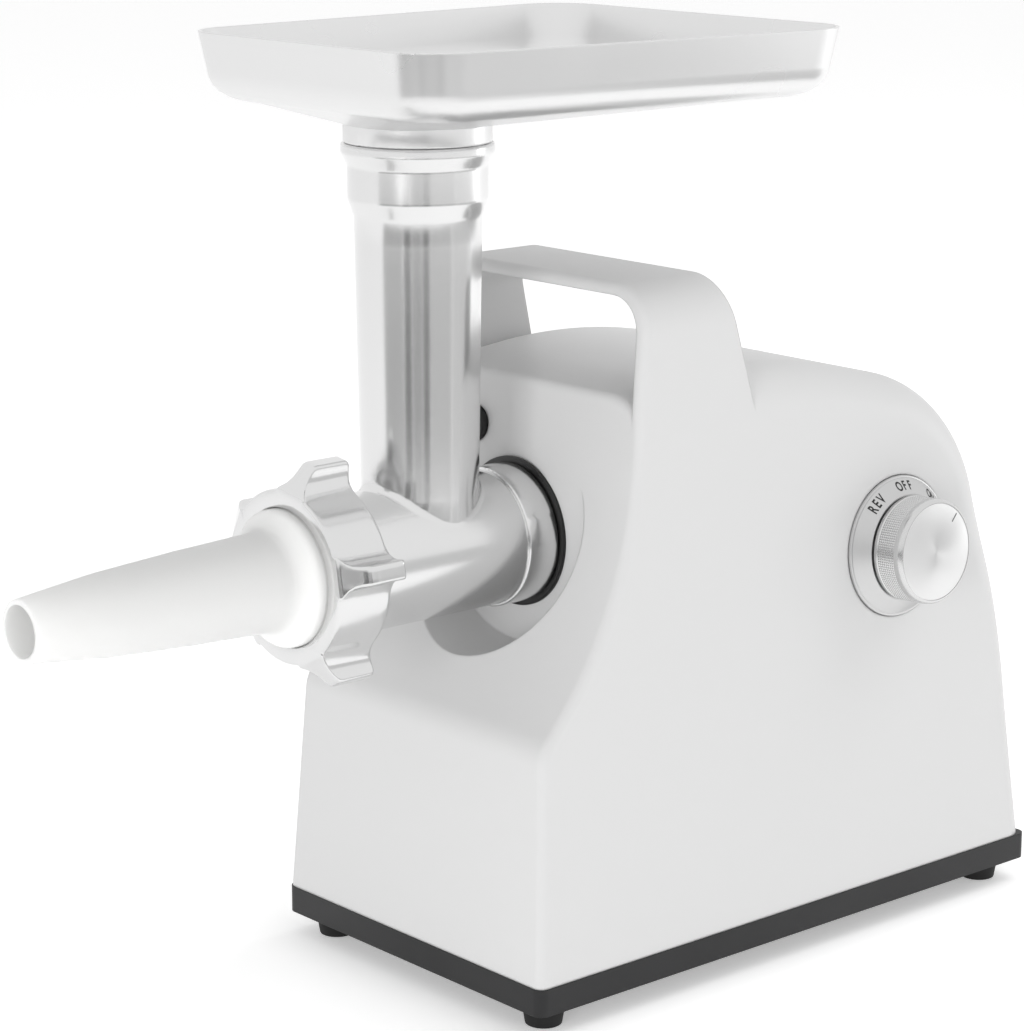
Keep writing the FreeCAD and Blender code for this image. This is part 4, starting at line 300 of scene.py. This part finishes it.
# Housing: one moulding of white ABS with its carrying strap, open underneath.
# A fine satin mould texture spreads every reflection into a soft glow, and no edge is left sharp.
white_abs, tree, shader = start_finish("white_satin_abs", "#D3D3D3", 0.46)
grain(tree, shader, size_mm=1.0, depth_mm=0.03, rough=(0.42, 0.5), edge_mm=1.6)
dress(["housing_shell"], white_abs, angle=34)

# Dial: a lathe-turned aluminium bezel, a shallow cone with a thin rolled rim, clamped by the switch's nut.
# Circular brushing draws its highlights out into soft fans.
DIAL_RADIUS, DIAL_TOP_RADIUS, DIAL_EDGE, DIAL_TOP = 30.0, 22.7, 1.25, 6.2
DIAL_BORE, DIAL_BACK, CONE_FOOT = 4.8, -1.0, 28.8
LAND_RADIUS, LAND_RISE = 22.3, 0.05
DIAL_RIM = ((DIAL_RADIUS, 0.5), (29.8, 0.95), (29.3, 1.2), (29.0, DIAL_EDGE))  # (radius, height)
ROUND = 176  # points round each turned piece
knob_joint = next(joint for joint in record["behaviour"]["joints"] if joint["name"] == "knob_turn")
outwards = Vector(knob_joint["axis"])
rightwards = Vector((0, 1, 0))
upwards = outwards.cross(rightwards)
dial_turn = Matrix((rightwards, upwards, outwards)).transposed().to_4x4()
dial_frame = Matrix.Translation(knob_joint["pos_m"]) @ dial_turn


def spun(name, profile, material, stand, closed=False, angle=SMOOTH_ANGLE):
    """A lathe-turned piece: a half section of (radius, height) in millimetres, spun about its own axis."""
    mesh = stacked([ring(radius, height, ROUND) for radius, height in profile], closed)
    return keep_piece(name, mesh, material, stand, angle)


def brushed_round(tree, shader):
    """Brushing that runs in circles about the dial's axis."""
    spot = add(tree, "ShaderNodeTexCoord").outputs["Object"]
    arm = add(tree, "ShaderNodeVectorMath", {0: spot, 1: knob_joint["pos_m"]}, operation="SUBTRACT")
    along = add(tree, "ShaderNodeVectorMath", {0: outwards, 1: arm.outputs["Vector"]},
                operation="CROSS_PRODUCT")
    unit = add(tree, "ShaderNodeVectorMath", {0: along.outputs["Vector"]}, operation="NORMALIZE")
    turned = add(tree, "ShaderNodeVectorTransform", {"Vector": unit.outputs["Vector"]}, vector_type="VECTOR",
                 convert_from="OBJECT", convert_to="WORLD")
    tree.links.new(turned.outputs["Vector"], shader.inputs["Tangent"])


brushed_dial, tree, shader = start_finish("circular_brushed_aluminium", "#CACACA", 0.32, Metallic=1.0,
                                          Anisotropic=0.6)
brushed_round(tree, shader)
dial = spun("dial_bezel", [
    (DIAL_BORE, DIAL_BACK), (DIAL_RADIUS, DIAL_BACK), *DIAL_RIM, (CONE_FOOT, DIAL_EDGE),
    (DIAL_TOP_RADIUS, DIAL_TOP), (LAND_RADIUS, DIAL_TOP + LAND_RISE), (DIAL_BORE, DIAL_TOP + LAND_RISE),
], brushed_dial, dial_frame, closed=True, angle=24)
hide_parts("dial_plate")
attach(dial, "base")

# Dial lettering: three switch positions printed in black along the cone, each letter upright to the rim.
# The ink is dull and lies a hair above the metal.
LETTER_SIZE, LETTER_RADIUS, LETTER_STEP = 6.2, 25.9, 7.0
LETTER_WIDTH, LETTER_WEIGHT, INK_LIFT = 0.66, 0.16, 0.03
SWITCH_WORDS = (("ON", 48.0), ("OFF", 87.5), ("REV", 127.5))  # each word's middle, in degrees
printed_ink, tree, shader = start_finish("black_printed_ink", "#161616", 0.55)
grain(tree, shader, size_mm=0.3, depth_mm=0.01, rough=(0.5, 0.62))
cone_slope = math.atan2(DIAL_TOP - DIAL_EDGE, CONE_FOOT - DIAL_TOP_RADIUS)
letter_height = DIAL_EDGE + (CONE_FOOT - LETTER_RADIUS) * math.tan(cone_slope) + INK_LIFT
lettering = bmesh.new()
for word, middle in SWITCH_WORDS:
    for i, letter in enumerate(word):
        text = bpy.data.curves.new(f"letter_{letter}", "FONT")
        text.body = letter
        text.size = LETTER_SIZE * MM
        text.align_x, text.align_y = "CENTER", "CENTER"
        text.offset = LETTER_WEIGHT * MM
        carrier = bpy.data.objects.new(text.name, text)
        flat = bpy.data.meshes.new_from_object(carrier)
        bpy.data.objects.remove(carrier)
        angle = math.radians(middle + LETTER_STEP * ((len(word) - 1) / 2 - i))
        on_cone = (Matrix.Rotation(angle - math.pi / 2, 4, "Z")
                   @ Matrix.Translation((0, LETTER_RADIUS * MM, letter_height * MM))
                   @ Matrix.Rotation(-cone_slope, 4, "X") @ Matrix.Diagonal((LETTER_WIDTH, 1, 1, 1)))
        flat.transform(on_cone)
        lettering.from_mesh(flat)
letters = keep_piece("dial_lettering", lettering, printed_ink, dial_frame)
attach(letters, "base")

# Switch knob: turned aluminium with a knurled grip between plain rings, over a black ring of painted shade.
# Every point of the knurl is cut in the metal, so the grip sparkles in small facets.
KNOB_BORE, SHADE_RING_RADIUS, SHADE_RING_FOOT, SHADE_RING_TOP = 5.0, 21.5, 5.4, 7.2
KNURL_LOW, KNURL_HIGH, KNURL_ROWS, KNURL_COUNT = 8.9, 17.5, 9, 132
KNURL_RADIUS, KNURL_DEPTH, KNURL_MARGIN = 21.8, 0.42, 0.01
KNOB_SEAT, KNOB_FACE = 21.0, 21.9
GRIP_FOOT = ((KNOB_BORE, 6.9), (21.9, 6.9), (22.2, 7.2), (22.2, 8.4), (22.0, 8.7))  # (radius, height)
GRIP_HEAD = ((22.0, 17.7), (22.2, 17.95), (22.2, 19.6), (22.05, 20.3), (21.7, 21.0), (21.15, 21.6),
             (20.75, 21.85), (20.45, KNOB_FACE), (20.45, KNOB_SEAT), (KNOB_BORE, KNOB_SEAT))
# Painted shade: a thin black ring fills the gap between the dial and the grip's foot, where only shadow
# falls.
gap_shade_ring = spun("knob_gap_shade_ring", [
    (KNOB_BORE, SHADE_RING_FOOT), (SHADE_RING_RADIUS, SHADE_RING_FOOT), (SHADE_RING_RADIUS, SHADE_RING_TOP), (KNOB_BORE, SHADE_RING_TOP),
], black_nylon, dial_frame, closed=True)
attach(gap_shade_ring, "knob")
grip_metal, tree, shader = start_finish("turned_aluminium", "#D2D2D2", 0.25, Metallic=1.0)
grain(tree, shader, size_mm=0.25, depth_mm=0.004, rough=(0.2, 0.3))
row_step = (KNURL_HIGH - KNURL_LOW) / (KNURL_ROWS - 1)
knurl = [(KNURL_RADIUS, KNURL_LOW + row_step * row) for row in range(KNURL_ROWS)]
mesh = stacked([ring(radius, height, KNURL_COUNT) for radius, height in (*GRIP_FOOT, *knurl, *GRIP_HEAD)],
               closed=True)
cells = [face for face in mesh.faces
         if all(KNURL_LOW - KNURL_MARGIN < vert.co.z / MM < KNURL_HIGH + KNURL_MARGIN for vert in face.verts)]
bmesh.ops.poke(mesh, faces=cells, offset=KNURL_DEPTH * MM)
knob = keep_piece("knob_grip", mesh, grip_metal, dial_frame, angle=18)
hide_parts("switch_knob")
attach(knob, "knob")

# Knob face: a faced aluminium disc pressed into the grip, with one engraved pointer line.
# Fine facing rings spread the light into two opposite fans.
CAP_SECTION = ((0.4, KNOB_SEAT), (20.4, KNOB_SEAT), (20.4, 21.7), (20.1, 21.86), (0.4, 21.86))
POINTER_ANGLE, POINTER_START, POINTER_END, POINTER_HALF = 48.5, 15.2, 19.4, 0.3
POINTER_HEIGHT, POINTER_DEPTH = 21.87, 0.06
spun_metal, tree, shader = start_finish("faced_aluminium", "#E2E2E2", 0.36, Metallic=1.0, Anisotropic=0.7)
brushed_round(tree, shader)
cap = spun("knob_face", CAP_SECTION, spun_metal, dial_frame)
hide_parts("knob_cap")
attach(cap, "knob")
mesh = bmesh.new()
bmesh.ops.create_cube(mesh, size=1.0)
line_size = Vector((POINTER_END - POINTER_START, 2 * POINTER_HALF, POINTER_DEPTH)) * MM
line_middle = Vector(((POINTER_START + POINTER_END) / 2, 0, POINTER_HEIGHT)) * MM
line_turn = Matrix.Rotation(math.radians(POINTER_ANGLE), 3, "Z")
bmesh.ops.scale(mesh, vec=line_size, verts=mesh.verts)
bmesh.ops.translate(mesh, vec=line_middle, verts=mesh.verts)
bmesh.ops.rotate(mesh, cent=(0, 0, 0), matrix=line_turn, verts=mesh.verts)
pointer_paint, tree, shader = start_finish("grey_engraved_line", "#6E6F70", 0.5)
grain(tree, shader, size_mm=0.3, depth_mm=0.02, rough=(0.45, 0.6))
pointer = keep_piece("knob_pointer", mesh, pointer_paint, dial_frame)
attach(pointer, "knob")

# Grinder head: a polished aluminium casting of barrel and feed tube, locked in by a bayonet.
# Buffing leaves it mirror bright, with a slight unevenness that bends the reflections.
polished_casting, tree, shader = start_finish("polished_cast_aluminium", "#E0E0E0", 0.2, Metallic=1.0)
grain(tree, shader, size_mm=22.0, depth_mm=0.08, rough=(0.17, 0.23), edge_mm=0.8)
dress(["grinder_head", "auger"], polished_casting, angle=30)

# Ring nut: a polished casting with five thin fins that slope back from its front face.
# It screws on the barrel; every edge is tumbled round, so each carries its own bright line.
NUT_LENGTH, NUT_FRONT_RADIUS, NUT_REAR_RADIUS = 25.0, 34.3, 35.2
NUT_MOUTH, NUT_LIP, NUT_BORE, NUT_CHAMFER, MOUTH_ROUND = 27.3, 2.4, 31.3, 0.6, 0.18
NUT_FRONT_EDGE = ((0.0, 1.0), (0.1, 0.62), (0.35, 0.3), (0.75, 0.08))  # (depth, inset)
NUT_REAR_EDGE = ((1.0, 0.1), (0.5, 0.4), (0.15, 0.9), (0.0, 1.5))  # (distance from the rear, inset)
NUT_INSIDE = ((NUT_BORE + NUT_CHAMFER, NUT_LENGTH), (NUT_BORE, NUT_LENGTH - NUT_CHAMFER), (NUT_BORE, NUT_LIP),
              (NUT_MOUTH, NUT_LIP), (NUT_MOUTH, NUT_CHAMFER), (NUT_MOUTH + MOUTH_ROUND, MOUTH_ROUND),
              (NUT_MOUTH + NUT_CHAMFER, 0.0))  # (radius, depth)
FINS, FIN_TURN, FIN_REACH, FIN_TIP_HALF, FIN_ROOT_HALF, FIN_ROUND = 5, -10.0, 45.0, 3.8, 9.6, 1.3
FIN_FRONT = ((0.0, 34.9), (1.2, 35.4), (2.6, 37.2), (4.2, 39.5), (5.8, 41.8), (7.2, 43.6), (8.2, 44.6),
             (9.6, FIN_REACH))  # (depth, reach)
FIN_CREST = (13.0, 17.0, 21.0, 23.2)
FIN_FLARE, TIP_STEPS, FLANK_STEPS, GAP_STEPS = 4, 4, 8, 10


def fin_side(body, reach):
    """One side of a fin as (out, aside) points, from the middle of its tip down its flank to the ring."""
    root = math.sqrt(body ** 2 - FIN_ROOT_HALF ** 2)

    def half(out):
        flare = ((FIN_REACH - out) / (FIN_REACH - root)) ** FIN_FLARE
        return FIN_TIP_HALF + (FIN_ROOT_HALF - FIN_TIP_HALF) * flare

    shoulder = reach - FIN_ROUND
    side = [(reach, 0.0), (reach, (half(shoulder) - FIN_ROUND) / 2)]
    for step in range(TIP_STEPS + 1):
        angle = math.pi / 2 * step / TIP_STEPS
        side.append((shoulder + FIN_ROUND * math.cos(angle),
                     half(shoulder) - FIN_ROUND + FIN_ROUND * math.sin(angle)))
    for step in range(1, FLANK_STEPS + 1):
        out = shoulder + (root - shoulder) * step / FLANK_STEPS
        side.append((out, half(out)))
    return side


def nut_ring(depth, reach, inset):
    """The nut's outline at a depth behind its front face, drawn in by an inset."""
    body = NUT_FRONT_RADIUS + (NUT_REAR_RADIUS - NUT_FRONT_RADIUS) * depth / NUT_LENGTH
    side = fin_side(body, reach)
    gap = math.tau / FINS - 2 * math.atan2(side[-1][1], side[-1][0])
    polar = [(math.hypot(*point), -math.atan2(point[1], point[0])) for point in reversed(side)]
    polar += [(radius, -angle) for radius, angle in reversed(polar[:-1])]
    polar += [(body, polar[-1][1] + gap * step / GAP_STEPS) for step in range(1, GAP_STEPS)]
    points = []
    for fin in range(FINS):
        start = math.radians(FIN_TURN) + math.tau * fin / FINS
        for radius, angle in polar:
            shrunk, turn = radius - inset, start + angle
            points.append(Vector((shrunk * math.cos(turn), shrunk * math.sin(turn), depth)) * MM)
    return points


def bore_ring(radius, depth, outline):
    """A ring of the bore whose points lie in line with an outline's points."""
    return [Vector((radius * math.cos(angle), radius * math.sin(angle), depth)) * MM
            for angle in (math.atan2(point.y, point.x) for point in outline)]


rings = [nut_ring(depth, FIN_FRONT[0][1], inset) for depth, inset in NUT_FRONT_EDGE]
rings += [nut_ring(depth, reach, 0.0) for depth, reach in FIN_FRONT[1:]]
rings += [nut_ring(depth, FIN_REACH, 0.0) for depth in FIN_CREST]
rings += [nut_ring(NUT_LENGTH - back, FIN_REACH, inset) for back, inset in NUT_REAR_EDGE]
outline = rings[-1]
rings += [bore_ring(radius, depth, outline) for radius, depth in NUT_INSIDE]
nut_joint = next(joint for joint in record["behaviour"]["joints"] if joint["name"] == "nut_turn")
nut_axis = Vector(nut_joint["pos_m"])
nut_front = Vector((nut_axis.x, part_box("ring_nut")[0][1], nut_axis.z))
lying = Matrix(((1, 0, 0), (0, 0, 1), (0, -1, 0))).to_4x4()
tumbled_casting, tree, shader = start_finish("tumbled_cast_aluminium", "#DEDEDE", 0.16, Metallic=1.0)
grain(tree, shader, size_mm=16.0, depth_mm=0.1, rough=(0.13, 0.2))
nut = keep_piece("finned_nut", stacked(rings, closed=True), tumbled_casting,
                 Matrix.Translation(nut_front) @ lying, angle=40)
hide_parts("ring_nut")
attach(nut, "nut")

# Stuffing tube, spacer and thrust washer: white food-grade polypropylene, slightly waxy.
# Light soaks through its thin wall, so the bore glows instead of going dark.
white_pp, tree, shader = start_finish("white_polypropylene", "#F3F3F1", 0.4, Subsurface_Weight=0.8,
                                      Subsurface_Scale=0.008, Subsurface_Radius=(1.0, 1.0, 1.0))
grain(tree, shader, size_mm=1.2, depth_mm=0.02, rough=(0.36, 0.46), edge_mm=0.6)
dress(["stuffing_tube", "front_spacer", "thrust_washer"], white_pp, angle=30)

# Hopper tray: pressed aluminium sheet with a satin finish, its neck plugged into the feed tube.
# The brushing runs along the tray, and the rim's cut edge is rounded, so it carries a bright line.
satin_sheet, tree, shader = start_finish("satin_aluminium_sheet", "#E2E2E2", 0.3, Metallic=1.0,
                                         Anisotropic=0.3)
grain(tree, shader, size_mm=0.8, depth_mm=0.012, rough=(0.26, 0.33), edge_mm=0.7, stretch=(1.0, 0.06, 1.0))
dress(["hopper_tray"], satin_sheet, angle=34)

# Studio: a plain pale floor under an even white surround, with soft boxes in front, beside and above.
# The surround shows full white but lights the part less, so the shading keeps its depth.
# Grey cards about the feed tube, seen in mirror reflections alone, draw the bands on the polished metal.
FLOOR_HALF, FLOOR_DROP = 8.0, 0.0004
SURROUND_SHOWN, SURROUND_LIGHT = 1.0, 0.62
FEED_TUBE_BACK = 0.0629  # the feed tube's axis, behind the head's front face
CARD_DISTANCE, CARD_FOOT, CARD_HEIGHT, CARD_STEPS = 0.62, 0.04, 0.22, 12
CARDS = ((-105, -67, "#B8B8B8"), (-66, -52, "#707070"), (-51, -33, "#A6A6A6"), (-32, -19, "#767676"),
         (-18, 23, "#C8C8C8"), (24, 70, "#D8D8D8"))  # (first angle, last angle, grey)
floor_paint, tree, shader = start_finish("pale_floor", "#FAFAFA", 0.8, Emission_Strength=0.34,
                                         Emission_Color=linear("#FFFFFF"))
mesh = bmesh.new()
bmesh.ops.create_grid(mesh, x_segments=1, y_segments=1, size=FLOOR_HALF)
floor = keep_piece("floor", mesh, floor_paint, Matrix.Translation((0, 0, -FLOOR_DROP)))
world = bpy.data.worlds.new("studio")
bpy.context.scene.world = world
world.use_nodes = True
tree = world.node_tree
surround = tree.nodes["Background"]
surround.inputs["Color"].default_value = linear("#FFFFFF")
rays = add(tree, "ShaderNodeLightPath")
level = add(tree, "ShaderNodeMapRange", {"Value": rays.outputs["Is Diffuse Ray"], "To Min": SURROUND_SHOWN,
                                         "To Max": SURROUND_LIGHT})
tree.links.new(level.outputs["Result"], surround.inputs["Strength"])
tube_axis = Vector((0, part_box("grinder_head")[0][1] + FEED_TUBE_BACK, 0))
for start, end, colour in CARDS:
    card_paint, tree, shader = start_finish(f"card_{colour[1:]}", "#000000", 1.0, Emission_Strength=1.0,
                                            Emission_Color=linear(colour), Specular_IOR_Level=0.0)
    mesh = bmesh.new()
    foot = mesh.verts.new((CARD_DISTANCE, 0, CARD_FOOT))
    head = mesh.verts.new((CARD_DISTANCE, 0, CARD_HEIGHT))
    edge = mesh.edges.new((foot, head))
    bmesh.ops.spin(mesh, geom=[foot, head, edge], cent=(0, 0, 0), axis=(0, 0, 1), dvec=(0, 0, 0),
                   angle=math.radians(end - start), steps=CARD_STEPS, use_merge=False, use_duplicate=False)
    stand = Matrix.Translation(tube_axis) @ Matrix.Rotation(math.radians(start), 4, "Z")
    card = keep_piece(f"card_{colour[1:]}", mesh, card_paint, stand)
    card.visible_camera = card.visible_diffuse = card.visible_shadow = card.visible_transmission = False


def softbox(name, spot, aim, size, power, mirrored):
    """A square area light at a place, pointed at another, seen in polished metal or not."""
    data = bpy.data.lights.new(name, "AREA")
    data.size = size
    data.energy = power
    lamp = bpy.data.objects.new(name, data)
    lamp.visible_glossy = mirrored
    lamp.location = spot
    lamp.rotation_euler = (Vector(aim) - Vector(spot)).to_track_quat("-Z", "Y").to_euler()
    bpy.context.scene.collection.objects.link(lamp)


softbox("front_box", spot=(0.9, -2.0, 0.36), aim=(0, 0, 0.15), size=0.7, power=14, mirrored=False)
softbox("side_box", spot=(2.1, -0.4, 0.7), aim=(0, 0, 0.2), size=1.2, power=2.5, mirrored=False)
softbox("top_box", spot=(0.5, 1.4, 2.0), aim=(0, 0, 0.25), size=1.8, power=20, mirrored=False)
softbox("knob_box", spot=(0.8, 1.9, 0.3), aim=knob_joint["pos_m"], size=0.5, power=2, mirrored=True)
bpy.context.scene.view_settings.view_transform = "Standard"

# Camera: at the photograph's view, a little above the tray's height and to the right of the horn.
# A long lens keeps the housing's upright edges nearly parallel.
CAMERA_DOWN, CAMERA_ROUND = 13.3775, 48.9666
camera = bpy.data.objects.new("camera", bpy.data.cameras.new("camera"))
camera.data.lens = 110.6
camera.data.sensor_width = 36.0
camera.location = (0.94431, -0.91075, 0.48566)
camera.rotation_euler = (math.radians(90 - CAMERA_DOWN), 0, math.radians(CAMERA_ROUND))
bpy.context.scene.collection.objects.link(camera)
bpy.context.scene.camera = camera
